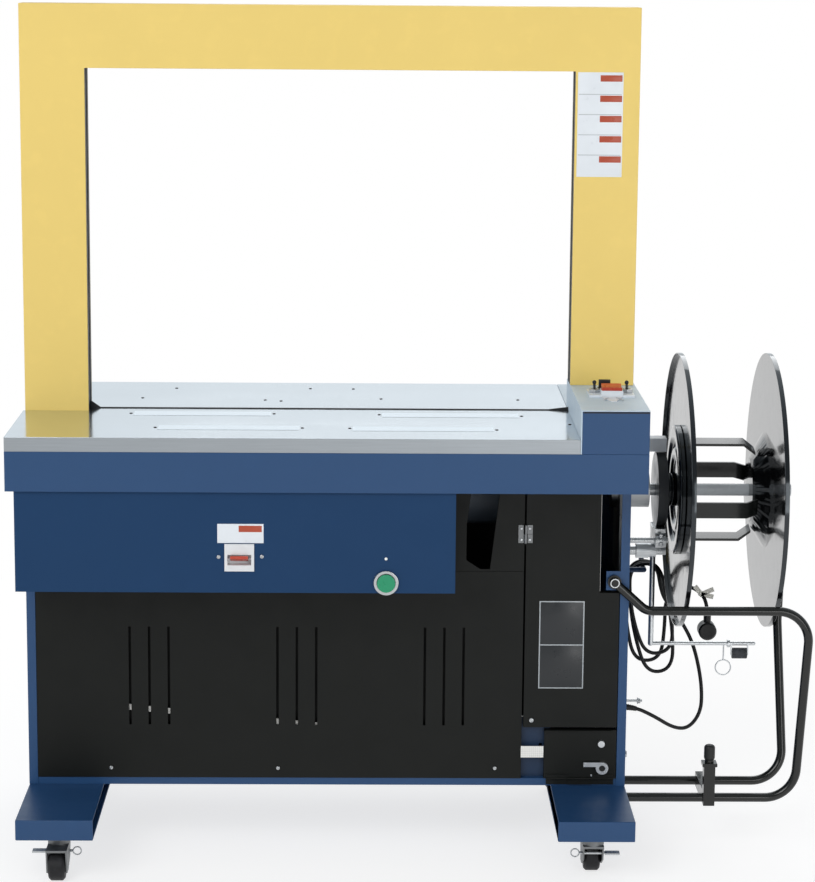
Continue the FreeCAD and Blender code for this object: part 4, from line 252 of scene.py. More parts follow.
def gloss_enamel(name, rgba):
    """Wet-sprayed gloss enamel on pressed steel: near black face on, and a pale mirror at a low angle."""
    tree, shader, place = start_material(name)
    set_shader(shader, IOR=1.55, Specular_Tint=(0.8, 0.91, 1, 1), Coat_Weight=0.25, Coat_Roughness=0.04)
    cloud = noise(tree, place, 70, 3)
    tree.links.new(tint(tree, cloud, shade(rgba, 0.8), shade(rgba, 1.4)), shader.inputs["Base Color"])
    tree.links.new(spread(tree, noise(tree, place, 26, 4), 0.08, 0.15), shader.inputs["Roughness"])
    # Pressed sheet is never dead flat: a faint long swell bends the reflection, as on the real flange.
    tree.links.new(relief(tree, noise(tree, place, 180, 1), 0.1, 0.12), shader.inputs["Normal"])


def moulded_plastic(name, rgba, rough, grain=1.4, level=0.5):
    """Injection-moulded ABS or nylon: an even colour, a fine spark-eroded grain and soft shine."""
    tree, shader, place = start_material(name)
    set_shader(shader, IOR=1.46, Specular_IOR_Level=level)
    cloud = noise(tree, place, 12, 3)
    tree.links.new(tint(tree, cloud, shade(rgba, 0.94), shade(rgba, 1.05)), shader.inputs["Base Color"])
    tree.links.new(spread(tree, cloud, rough - 0.04, rough + 0.06), shader.inputs["Roughness"])
    tree.links.new(relief(tree, noise(tree, place, grain, 2), 0.03, 0.25), shader.inputs["Normal"])


def soft_rubber(name, rgba, rough, grain=2.2):
    """Moulded rubber or polyurethane: dull, with a worn, dusty bloom in patches."""
    tree, shader, place = start_material(name)
    set_shader(shader, IOR=1.52, Specular_IOR_Level=0.3)
    bloom = spread(tree, noise(tree, place, 9, 6), 0, 1, 0.42, 0.75)
    tree.links.new(tint(tree, bloom, rgba, shade(rgba, 2.1)), shader.inputs["Base Color"])
    tree.links.new(spread(tree, bloom, rough, rough + 0.15, 0, 1), shader.inputs["Roughness"])
    tree.links.new(relief(tree, noise(tree, place, grain, 3), 0.12, 0.4), shader.inputs["Normal"])


def printed_film(name, rgba):
    """A blank polyester label film: smooth, faintly satin, with a little handling haze."""
    tree, shader, place = start_material(name)
    set_shader(shader, IOR=1.5, Specular_IOR_Level=0.45)
    haze = noise(tree, place, 18, 4)
    tree.links.new(tint(tree, haze, shade(rgba, 0.94), shade(rgba, 1.02)), shader.inputs["Base Color"])
    tree.links.new(spread(tree, haze, 0.26, 0.4), shader.inputs["Roughness"])


def cast_paint(name, rgba):
    """Painted casting: the sand mould's rough skin shows through a thick coat."""
    tree, shader, place = start_material(name)
    set_shader(shader, IOR=1.5)
    grit = noise(tree, place, 3.5, 5)
    tree.links.new(tint(tree, grit, shade(rgba, 0.85), shade(rgba, 1.1)), shader.inputs["Base Color"])
    tree.links.new(spread(tree, grit, 0.45, 0.62), shader.inputs["Roughness"])
    tree.links.new(relief(tree, grit, 0.4, 0.5), shader.inputs["Normal"])


def woven_strap(name, rgba):
    """Polypropylene strap: pale ribbon with the diamond emboss that the rollers press into it."""
    tree, shader, place = start_material(name)
    set_shader(shader, IOR=1.49, Specular_IOR_Level=0.5, Roughness=0.42)
    turned = {"Rotation": (0, math.radians(45), 0)}
    for_emboss = add_node(tree, "Mapping", turned, {"Vector": place}).outputs["Vector"]
    # The real emboss is about 1.5 mm across; it is drawn 2.4 mm across, so that it shows.
    emboss = add_node(tree, "TexChecker", {"Scale": 1 / (2.4 * MM)}, {"Vector": for_emboss})
    milky = tint(tree, emboss.outputs["Fac"], shade(rgba, 0.86), rgba)
    tree.links.new(milky, shader.inputs["Base Color"])
    tree.links.new(relief(tree, emboss.outputs["Fac"], 0.2, 0.5), shader.inputs["Normal"])


class STRAPPER_OT_camera(bpy.types.Operator):
    """Sets the camera where the photographer stood"""

    bl_idname = "strapper.camera"
    bl_label = "Camera"

    def execute(self, context):
        pitch, yaw, roll = 0.1810, 0.0160, 0.0080
        focal_pixels, frame_height = 2711.5, 882
        forward = Vector(
            (math.sin(yaw) * math.cos(pitch), math.cos(yaw) * math.cos(pitch), -math.sin(pitch))
        )
        level = Vector((math.cos(yaw), -math.sin(yaw), 0))
        upright = level.cross(forward)
        right = level * math.cos(roll) + upright * math.sin(roll)
        up = upright * math.cos(roll) - level * math.sin(roll)
        bpy.ops.object.camera_add(location=at(62.8, -4708.4, 1583.6))
        camera = context.object
        camera.name = "photo_camera"
        turned = Matrix((right, up, -forward)).transposed()
        camera.rotation_euler = turned.to_euler()
        camera.data.sensor_width = 36
        camera.data.lens = focal_pixels * camera.data.sensor_width / frame_height
        camera.data.clip_end = 30
        context.scene.camera = camera
        return {"FINISHED"}


class STRAPPER_OT_finishes(bpy.types.Operator):
    """Makes every finish of the machine from its colours"""

    bl_idname = "strapper.finishes"
    bl_label = "Finishes"

    def execute(self, context):
        tones = context.scene.strapper_colours
        powder_paint("blue_powder_paint", tones.blue, 0.36)
        powder_paint("yellow_powder_paint", tones.yellow, 0.5)
        powder_paint("black_powder_paint", tones.black, 0.46, 2.0, 0.22)
        powder_paint("pale_satin_paint", tones.pale, 0.5, 2.4, 0.25)
        # The box gets a darker copy of the blue: painted shade from the table's overhang above it.
        powder_paint("blue_box_painted_shade", shade(tones.blue, 0.72), 0.5, 2.4, 0.15)
        # A much darker copy of the blue for the recessed outlet plate behind the strap's end: painted shade.
        powder_paint("blue_plate_painted_shade", shade(tones.blue, 0.42), 0.42)
        powder_paint("guard_tube_paint", tones.black, 0.16, 3, 0.5)
        powder_paint("console_satin_paint", linear("#DFE5EA"), 0.3)
        powder_paint("brake_lining_paint", linear("#3A3D40"), 0.5, 2)
        brushed_steel("brushed_stainless_table", tones.steel, 0.1, (45, 1, 1))
        # A darker, rougher copy of the table's stainless for its upright front lip: the darkness is painted
        # shade.
        brushed_steel("brushed_lip_painted_shade", shade(tones.steel, 0.62), 0.42, (45, 1, 1))
        # The glide strips are polished stainless; their base colour is lighter than the table's as a painted
        # highlight.
        brushed_steel("polished_strip_and_painted_highlight", shade(tones.steel, 1.3), 0.06, (60, 1, 1), 1.2)
        plated_steel("zinc_plate", tones.zinc, 0.2)
        plated_steel("turned_steel", shade(tones.zinc, 0.8), 0.26, 40)
        plated_steel("galvanised_sheet", shade(tones.zinc, 0.42), 0.4, 14)
        plated_steel("bright_zinc", shade(tones.zinc, 1.3), 0.3)
        gloss_enamel("reel_gloss_enamel", tones.reel)
        moulded_plastic("black_nylon", linear("#161718"), 0.42)
        moulded_plastic("track_polyethylene", linear("#1D1E20"), 0.5, 3)
        moulded_plastic("green_cap_plastic", tones.button, 0.3)
        moulded_plastic("red_lever_plastic", tones.signal, 0.3)
        moulded_plastic("orange_rocker_plastic", tones.orange, 0.3)
        moulded_plastic("ivory_case_plastic", tones.ivory, 0.34)
        moulded_plastic("cream_tie_plastic", linear("#FFFAEE"), 0.45)
        moulded_plastic("lamp_lens", linear("#F4F6F4"), 0.15)
        soft_rubber("castor_polyurethane", linear("#18181A"), 0.5)
        soft_rubber("grey_roller_rubber", linear("#34363A"), 0.5)
        soft_rubber("cord_sheath", linear("#131314"), 0.4, 3)
        printed_film("blank_label_film", tones.card)
        printed_film("black_plate_film", linear("#24272A"))
        printed_film("plate_border_film", linear("#AEB4B8"))
        printed_film("red_band_film", linear("#B04A30"))
        cast_paint("painted_casting", linear("#4B5560"))
        woven_strap("embossed_strap", linear("#F6F5F0"))
        return {"FINISHED"}


def only(*pieces):
    """Selects these pieces and nothing else, and makes the first the active one."""
    bpy.ops.object.select_all(action="DESELECT")
    for piece in pieces:
        piece.select_set(True)
    bpy.context.view_layer.objects.active = pieces[0]


def paint(piece, material):
    """Gives the piece one finish."""
    piece.data.materials.clear()
    piece.data.materials.append(bpy.data.materials[material])


def settle(piece, name, body, material, nodes=()):
    """Names a finished piece, puts its place into its mesh, and lets it ride its body."""
    only(piece)
    bpy.ops.object.transform_apply(location=True, rotation=True, scale=True)
    piece.name = name
    piece.data.name = name
    if material:
        paint(piece, material)
    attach(piece, body)
    if nodes:
        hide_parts(*nodes)
    return piece


def modify(piece, kind, **settings):
    """Adds a modifier with its settings, and applies it."""
    only(piece)
    added = piece.modifiers.new(kind, kind)
    for name, value in settings.items():
        setattr(added, name, value)
    bpy.ops.object.modifier_apply(modifier=added.name)


def soften(piece, radius, corner=40, steps=2):
    """Rounds the edges that are sharper than a corner angle, and smooths the rest."""
    if radius > 0:
        modify(
            piece, "BEVEL", width=radius, segments=steps, limit_method="ANGLE",
            angle_limit=math.radians(corner), use_clamp_overlap=True, harden_normals=False,
        )
    only(piece)
    bpy.ops.object.shade_smooth_by_angle(angle=math.radians(32))
    modify(piece, "WEIGHTED_NORMAL", keep_sharp=True, weight=90)


def merge_faces(piece, apart):
    """Merges points that lie closer than a distance, and the faces that are flat to each other."""
    only(piece)
    bpy.ops.object.mode_set(mode="EDIT")
    bpy.ops.mesh.select_all(action="SELECT")
    bpy.ops.mesh.remove_doubles(threshold=apart)
    bpy.ops.mesh.dissolve_limited(angle_limit=math.radians(0.4))
    bpy.ops.object.mode_set(mode="OBJECT")


def copied(*nodes):
    """One new piece with the merged meshes of these nodes."""
    pieces = []
    for node in nodes:
        piece = bpy.data.objects.new(node + "_copy", frame["nodes"][node].data.copy())
        bpy.context.scene.collection.objects.link(piece)
        pieces.append(piece)
    only(*pieces)
    if len(pieces) > 1:
        bpy.ops.object.join()
    piece = bpy.context.object
    merge_faces(piece, 0.004 * MM)
    return piece


def cut_up(piece, cuts):
    """Divides every edge of the piece into equal lengths."""
    only(piece)
    bpy.ops.object.mode_set(mode="EDIT")
    bpy.ops.mesh.select_all(action="SELECT")
    bpy.ops.mesh.subdivide(number_cuts=cuts)
    bpy.ops.object.mode_set(mode="OBJECT")


def carve(piece, cutter):
    """Cuts one piece out of another."""
    modify(piece, "BOOLEAN", object=cutter, operation="DIFFERENCE", solver="EXACT")
    bpy.data.objects.remove(cutter)


def body_of(node):
    """The body that a node rides on."""
    return frame["nodes"][node]["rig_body"]


def dress(node, material, radius, corner=40, steps=2):
    """Stands a softened copy in for a node, in its own finish."""
    piece = copied(node)
    soften(piece, radius, corner, steps)
    return settle(piece, node + "_skin", body_of(node), material, nodes=[node])


def patch(piece, material, low, high):
    """Gives the faces whose middles lie between two places another finish."""
    low, high = at(*low), at(*high)
    piece.data.materials.append(bpy.data.materials[material])
    slot = len(piece.data.materials) - 1
    for face in piece.data.polygons:
        if all(a <= c <= b for a, c, b in zip(low, face.center, high)):
            face.material_index = slot


def block(low, high):
    """A plain block between two places, ready to be shaped."""
    low, high = at(*low), at(*high)
    bpy.ops.mesh.primitive_cube_add(size=1, location=(low + high) / 2)
    piece = bpy.context.object
    piece.scale = [abs(b - a) for a, b in zip(low, high)]
    bpy.ops.object.transform_apply(location=True, rotation=True, scale=True)
    return piece


def disc(centre, radius, thick, axis="Z", sides=32):
    """A plain round disc about a place, ready to be shaped."""
    turns = {"X": (0, math.pi / 2, 0), "Y": (math.pi / 2, 0, 0), "Z": (0, 0, 0)}
    bpy.ops.mesh.primitive_cylinder_add(
        vertices=sides, radius=radius * MM, depth=thick * MM, location=at(*centre), rotation=turns[axis]
    )
    bpy.ops.object.transform_apply(location=True, rotation=True, scale=True)
    return bpy.context.object


def joined(pieces):
    """Joins pieces into the first."""
    only(*pieces)
    if len(pieces) > 1:
        bpy.ops.object.join()
    return bpy.context.object


SKINS = [
    ("blue_powder_paint", "fold", ["feet", "base_pan", "side_panel_left", "side_panel_right", "table_frame",
                                   "corner_block"]),
    # The electrical box gets the darker copy of the blue: painted shade from the table's overhang.
    ("blue_box_painted_shade", "fold", ["electrical_box"]),
    ("black_powder_paint", "edge", ["front_panel", "rear_panel", "hinge_panel", "door", "pool_door"]),
    ("brushed_stainless_table", "edge", ["table_front", "table_rear"]),
    ("pale_satin_paint", "edge", ["corner_cover"]),
    ("guard_tube_paint", "edge", ["guard_tube_front", "guard_tube_rear", "guard_clamp"]),
    ("track_polyethylene", "edge", ["strap_track"]),
    ("reel_gloss_enamel", "edge", ["inner_flange", "outer_flange"]),
    ("turned_steel", "edge", ["hub_tube", "reel_shaft"]),
    ("zinc_plate", "edge", ["start_bezel", "brake_shoe"]),
    ("bright_zinc", "edge", ["pool_latch", "dancer_arm"]),
    ("galvanised_sheet", "edge", ["door_hinge"]),
    ("console_satin_paint", "edge", ["switch_console"]),
    ("grey_roller_rubber", "edge", ["dancer_roller"]),
    ("ivory_case_plastic", "edge", ["breaker"]),
    ("red_lever_plastic", "edge", ["breaker_toggle"]),
    ("green_cap_plastic", "edge", ["start_button"]),
    ("orange_rocker_plastic", "edge", ["rocker"]),
    ("black_nylon", "edge", ["mode_knob", "toggle_left", "toggle_right", "cord_gland"]),
]

PATCHES = [
    ("table_frame", "console_satin_paint", (540.7, 78, 688), (607, 112, 716)),
    # The table's front lip gets the darker copy of its steel: painted shade on the upright faces.
    ("table_front", "brushed_lip_painted_shade", (-545, -246, 740), (545, -244.4, 769.4)),
    ("base_pan", "black_powder_paint", (379, -104, 125), (513, -96.3, 138)),
    # The recessed outlet plate gets the much darker blue: painted shade.
    ("base_pan", "blue_plate_painted_shade", (326, -84, 121), (400, -80, 243)),
    ("reel_shaft", "brake_lining_paint", (588.4, 20, 540), (606.6, 170, 690)),
    ("reel_shaft", "console_satin_paint", (606.6, 40, 560), (834, 150, 680)),
    ("inner_flange", "guard_tube_paint", (647, -5, 515), (765, 195, 720)),
    ("hub_tube", "zinc_plate", (527, 30, 488), (640, 112, 545)),
    ("rocker", "red_lever_plastic", (465, -114, 820), (512, -106, 850)),
    ("door", "galvanised_sheet", (343, -104, 559), (358, -96.2, 593)),
    ("guard_tube_front", "zinc_plate", (486, -114, 478), (514, -111.9, 506)),
    ("pool_door", "bright_zinc", (475, -105, 190), (491, -96.3, 206)),
    ("pool_latch", "black_nylon", (479.4, -101, 148.4), (490.6, -99.8, 159.6)),
]

INSIDE = {
    # The strap pool box behind the front panel's slots gets the black paint as painted shade, so that the
    # slots read dark.
    "black_powder_paint": ["strap_pool_box"],
    "turned_steel": ["head_frame", "cam_shaft", "pinch_roller"],
    "grey_roller_rubber": ["feed_roller"],
    "painted_casting": ["main_motor"],
}


class STRAPPER_OT_cords(bpy.types.Operator):
    """Lays the mains lead from its gland over the hook and into its plug"""

    bl_idname = "strapper.cords"
    bl_label = "Mains lead"

    def route(self):
        """The lead's own points in the machine's millimetres, as the source lays it."""
        lead = [
            (516, 150, 196), (562, 150, 196), (602, 157, 176), (642, 171, 148), (673, 187, 143),
            (697, 204, 170), (699, 216, 212), (692, 226, 258), (680, 234, 300), (660, 238, 336),
            (640.5, 239, 361.9), (620.85, 240, 387.9), (611.04, 240, 449.77),
        ]
        hook_across, hook_top, fall, fan = 586.5, 445, 215, 11
        drops, leans = (0.82, 1, 0.9), (1, 0.9, 0.4)
        for turn, (drop, tilt) in enumerate(zip(drops, leans), 1):
            hang = fall * drop
            outline = [(-25, 0), (-36, -hang / 3), (-36, -2 * hang / 3), (-25, -hang),
                       (25, -hang), (36, -2 * hang / 3)]
            if turn < len(drops):
                outline += [(36, -hang / 3), (25, 0)]
            angle = math.radians(fan * tilt)
            for across, up in outline:
                swung = across * math.cos(angle) - up * math.sin(angle)
                raised = across * math.sin(angle) + up * math.cos(angle)
                lead.append((hook_across + swung, 240 + 10 * turn, hook_top + raised))
        tail = [(632, 272, 372), (658, 270.9, 396), (684, 258.3, 398), (708, 236, 378), (708, 236, 344)]
        return lead + tail

    def execute(self, context):
        diameter = context.scene.strapper_sizes.cord
        curve = bpy.data.curves.new("mains_lead", "CURVE")
        curve.dimensions = "3D"
        spline = curve.splines.new("NURBS")
        points = [at(*p) for p in self.route()]
        spline.points.add(len(points) - 1)
        for knot, point in zip(spline.points, points):
            knot.co = (*point, 1)
        spline.order_u = 3
        spline.use_endpoint_u = True
        spline.resolution_u = 8
        curve.bevel_depth = diameter / 2
        curve.bevel_resolution = 4
        curve.use_fill_caps = True
        lead = bpy.data.objects.new("mains_lead", curve)
        context.scene.collection.objects.link(lead)
        curve.materials.append(bpy.data.materials["cord_sheath"])
        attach(lead, "machine")
        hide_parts("power_cord", "cord_hank")
        plug = dress("plug", "black_nylon", 1.4 * MM)
        line = self.centre_line(lead)
        self.strain_relief(line)
        self.tie(line)
        return {"FINISHED"}

    def centre_line(self, lead):
        """The points of the lead's own smooth line."""
        curve = lead.data.copy()
        curve.bevel_depth = 0
        bare = bpy.data.objects.new("bare_line", curve)
        mesh = bpy.data.meshes.new_from_object(bare)
        line = [vertex.co.copy() for vertex in mesh.vertices]
        bpy.data.objects.remove(bare)
        bpy.data.meshes.remove(mesh)
        return line

    def stretch_of(self, line, start, end, count):
        """Evenly spaced points of the line between two distances from its start."""
        placed, walked, last = [], 0, line[0]
        goals = [start + (end - start) * step / (count - 1) for step in range(count)]
        for point in line[1:]:
            step = (point - last).length
            while goals and walked + step >= goals[0]:
                placed.append(last.lerp(point, (goals.pop(0) - walked) / step))
            walked, last = walked + step, point
        return placed

    def sleeve(self, name, points, radii):
        """A round sleeve along some points, with a radius at each."""
        curve = bpy.data.curves.new(name, "CURVE")
        curve.dimensions = "3D"
        spline = curve.splines.new("POLY")
        spline.points.add(len(points) - 1)
        for knot, point, radius in zip(spline.points, points, radii):
            knot.co = (*point, 1)
            knot.radius = radius
        curve.bevel_depth = MM
        curve.bevel_resolution = 5
        curve.use_fill_caps = True
        piece = bpy.data.objects.new(name, curve)
        bpy.context.scene.collection.objects.link(piece)
        only(piece)
        bpy.ops.object.convert(target="MESH")
        piece = bpy.context.object
        bpy.ops.object.shade_smooth_by_angle(angle=math.radians(50))
        return piece

    def strain_relief(self, line):
        """The ribbed, tapered sleeve that guides the lead out of its gland."""
        count = 33
        points = self.stretch_of(line, 22 * MM, 54 * MM, count)
        radii = [6.6 - 2.3 * step / (count - 1) + (0.5 if step % 4 < 2 else 0) for step in range(count)]
        relief_sleeve = self.sleeve("strain_relief", points, radii)
        return settle(relief_sleeve, "strain_relief", "machine", "black_nylon")

    def tie(self, line):
        """The cream wire tie near the plug, twisted into two tails."""
        whole = sum((b - a).length for a, b in zip(line, line[1:]))
        points = self.stretch_of(line, whole - 52 * MM, whole - 45 * MM, 5)
        band = self.sleeve("tie_band", points, [4.6, 5.4, 5.6, 5.4, 4.6])
        middle = points[2]
        tails = []
        for turn, across in ((24, 12), (-12, 11), (-52, -5)):
            bpy.ops.mesh.primitive_cube_add(size=1, location=(0, 0, 0), scale=(24 * MM, 1.4 * MM, 9 * MM))
            tail = bpy.context.object
            modify(tail, "BEVEL", width=0.5 * MM, segments=2)
            tail.rotation_euler = (0, math.radians(-turn), 0)
            tail.location = middle + Vector((across, -5.4, across * math.tan(math.radians(turn)))) * MM
            tails.append(tail)
        knot = joined([band, *tails])
        return settle(knot, "cord_tie", "machine", "cream_tie_plastic")


class STRAPPER_OT_skins(bpy.types.Operator):
    """Rounds and paints every outer piece of the machine"""

    bl_idname = "strapper.skins"
    bl_label = "Outer pieces"

    def execute(self, context):
        sizes = context.scene.strapper_sizes
        for material, radius, nodes in SKINS:
            for node in nodes:
                dress(node, material, getattr(sizes, radius))
        for node, material, low, high in PATCHES:
            patch(bpy.data.objects[node + "_skin"], material, low, high)
        for material, nodes in INSIDE.items():
            for node in nodes:
                paint(frame["nodes"][node], material)
        return {"FINISHED"}


class STRAPPER_OT_arch(bpy.types.Operator):
    """Welds the arch's legs and beam into one seamless painted arch"""

    bl_idname = "strapper.arch"
    bl_label = "Arch"

    def execute(self, context):
        arch = copied("arch_beam")
        for node in ("arch_leg_left", "arch_leg_right"):
            leg = copied(node)
            modify(arch, "BOOLEAN", object=leg, operation="UNION", solver="EXACT")
            bpy.data.objects.remove(leg)
        merge_faces(arch, 0.01 * MM)
        soften(arch, context.scene.strapper_sizes.fold, steps=3)
        settle(arch, "arch_skin", "machine", "yellow_powder_paint",
               ["arch_beam", "arch_leg_left", "arch_leg_right"])
        return {"FINISHED"}


class STRAPPER_OT_castors(bpy.types.Operator):
    """Rounds and finishes the castors"""

    bl_idname = "strapper.castors"
    bl_label = "Castors"

    def execute(self, context):
        edge = context.scene.strapper_sizes.edge
        for corner in ("front_left", "front_right", "rear_left", "rear_right"):
            dress("castor_fork_" + corner, "galvanised_sheet", edge)
            dress("castor_wheel_" + corner, "castor_polyurethane", 1.5 * MM)
        for corner in ("front_left", "front_right"):
            dress("castor_brake_" + corner, "zinc_plate", edge)
        return {"FINISHED"}


class STRAPPER_OT_screws(bpy.types.Operator):
    """Fits the screws of the table, the panels and the box"""

    bl_idname = "strapper.screws"
    bl_label = "Screws"

    def pan_screw(self, radius, axis):
        """One pan-head screw with a cross recess, at the machine's zero."""
        screw = disc((0, 0, 0), radius / MM, 0.9 * radius / MM, axis, 24)
        soften(screw, radius * 0.3, 50, 3)
        slots = []
        for turn in (0, 1):
            size = [0.36 * radius, 0.36 * radius, 0.36 * radius]
            others = [i for i in range(3) if i != "XYZ".index(axis)]
            size[others[turn]] = 1.25 * radius
            size["XYZ".index(axis)] = 0.6 * radius
            shift = Vector((0, 0, 0))
            shift["XYZ".index(axis)] = (1 if axis == "Z" else -1) * 0.45 * radius
            bpy.ops.mesh.primitive_cube_add(size=1, location=at(0, 0, 0) + shift, scale=size)
            slots.append(bpy.context.object)
        for cutter in slots:
            carve(screw, cutter)
        only(screw)
        bpy.ops.object.shade_smooth_by_angle(angle=math.radians(32))
        return screw

    def group(self, name, body, material, slot, radius, axis, places):
        """Copies one screw to every place and joins the copies."""
        screw = self.pan_screw(radius, axis)
        made = []
        for place in places:
            only(screw)
            bpy.ops.object.duplicate(linked=False)
            twin = bpy.context.object
            twin.location += at(*place) - at(0, 0, 0)
            made.append(twin)
        bpy.data.objects.remove(screw)
        settle(joined(made), name, body, material)

    def execute(self, context):
        head = context.scene.strapper_sizes.screw
        front = [(-348, -6), (-295, -146), (-97, -4), (-44, -145), (37, -146), (88, -8), (338, -16),
                 (288, -155), (417, -97)]
        rear = [(-341, 159), (-287, 270), (-39, 273), (41, 271), (92, 160), (341, 157), (-118, 142),
                (-89, 132)]
        top = 769.6
        self.group("table_front_screws", "table_front", "black_nylon", "black_plastic", head * 0.7, "Z",
                   [(x, y, top) for x, y in front])
        self.group("table_rear_screws", "table_rear", "black_nylon", "black_plastic", head * 0.7, "Z",
                   [(x, y, top) for x, y in rear])
        panel = [(-381.8, -97, 151), (-87.7, -97, 151), (295.5, -97, 152)]
        self.group("panel_screws", "machine", "zinc_plate", "zinc_steel", head * 0.8, "Y", panel)
        box = [(-183, -239, 565), (-110, -239, 566)]
        self.group("box_screws", "machine", "zinc_plate", "zinc_steel", head * 0.8, "Y", box)
        self.group("door_screw", "door", "zinc_plate", "zinc_steel", head, "Y", [(359, -97, 240)])
        self.group("hinge_screws_fixed", "machine", "bright_zinc", "zinc_steel", head * 0.55, "Y",
                   [(336.5, -98, 566), (336.5, -98, 586)])
        self.group("hinge_screws_door", "door", "bright_zinc", "zinc_steel", head * 0.55, "Y",
                   [(351, -98, 566), (351, -98, 586)])
        self.group("pool_door_rivets", "pool_door", "bright_zinc", "zinc_steel", head * 0.55, "Y",
                   [(391, -96.8, 139), (467.5, -96.8, 139)])
        self.group("brake_nuts", "brake_shoe", "zinc_plate", "zinc_steel", head, "Y",
                   [(594, 28, 531), (594, 28, 546)])
        return {"FINISHED"}


class STRAPPER_OT_plates(bpy.types.Operator):
    """Sticks the blank plates where the real machine has printed ones"""

    bl_idname = "strapper.plates"
    bl_label = "Blank plates"

    def film(self, name, body, low, high, material, slot, thick):
        """One thin plate with rounded corners on a face that looks to the front."""
        plate = block((low[0], low[1] - thick / MM, low[2]), (high[0], low[1], high[2]))
        only(plate)
        modify(plate, "BEVEL", width=thick * 0.4, segments=2, limit_method="ANGLE")
        bpy.ops.object.shade_smooth_by_angle(angle=math.radians(32))
        return settle(plate, name, body, material)

    def execute(self, context):
        thick = context.scene.strapper_sizes.plate
        box_front, door_front, leg_front = -238, -96, 20
        self.film("box_plate", "machine", (-185, box_front, 589), (-107, box_front, 622),
                  "blank_label_film", "white_plastic", thick)
        self.film("box_plate_band", "machine", (-149, box_front - thick / MM, 608),
                  (-110, box_front - thick / MM, 619), "red_band_film", "red_plastic", thick * 0.2)
        self.film("leg_plate", "machine", (429, leg_front, 1188), (508, leg_front, 1369),
                  "blank_label_film", "white_plastic", thick)
        height = (1366 - 1191) / 5
        for row in range(5):
            low = 1191 + row * height
            self.film(f"leg_plate_band_{row + 1}", "machine",
                      (468, leg_front - thick / MM, low + height - 13),
                      (506, leg_front - thick / MM, low + height - 2), "red_band_film", "red_plastic",
                      thick * 0.2)
            if row:
                self.film(f"leg_plate_line_{row}", "machine", (431, leg_front - thick / MM, low - 0.6),
                          (505, leg_front - thick / MM, low + 0.6), "plate_border_film", "zinc_steel",
                          thick * 0.2)
        self.film("door_plate_border", "door", (370, door_front, 298), (449, door_front, 456),
                  "plate_border_film", "zinc_steel", thick)
        for row, (low, high) in enumerate(((300, 376), (378, 454))):
            self.film(f"door_plate_{row + 1}", "door", (372, door_front - thick / MM, low),
                      (447, door_front - thick / MM, high), "black_plate_film", "black_plastic", thick * 0.3)
        return {"FINISHED"}


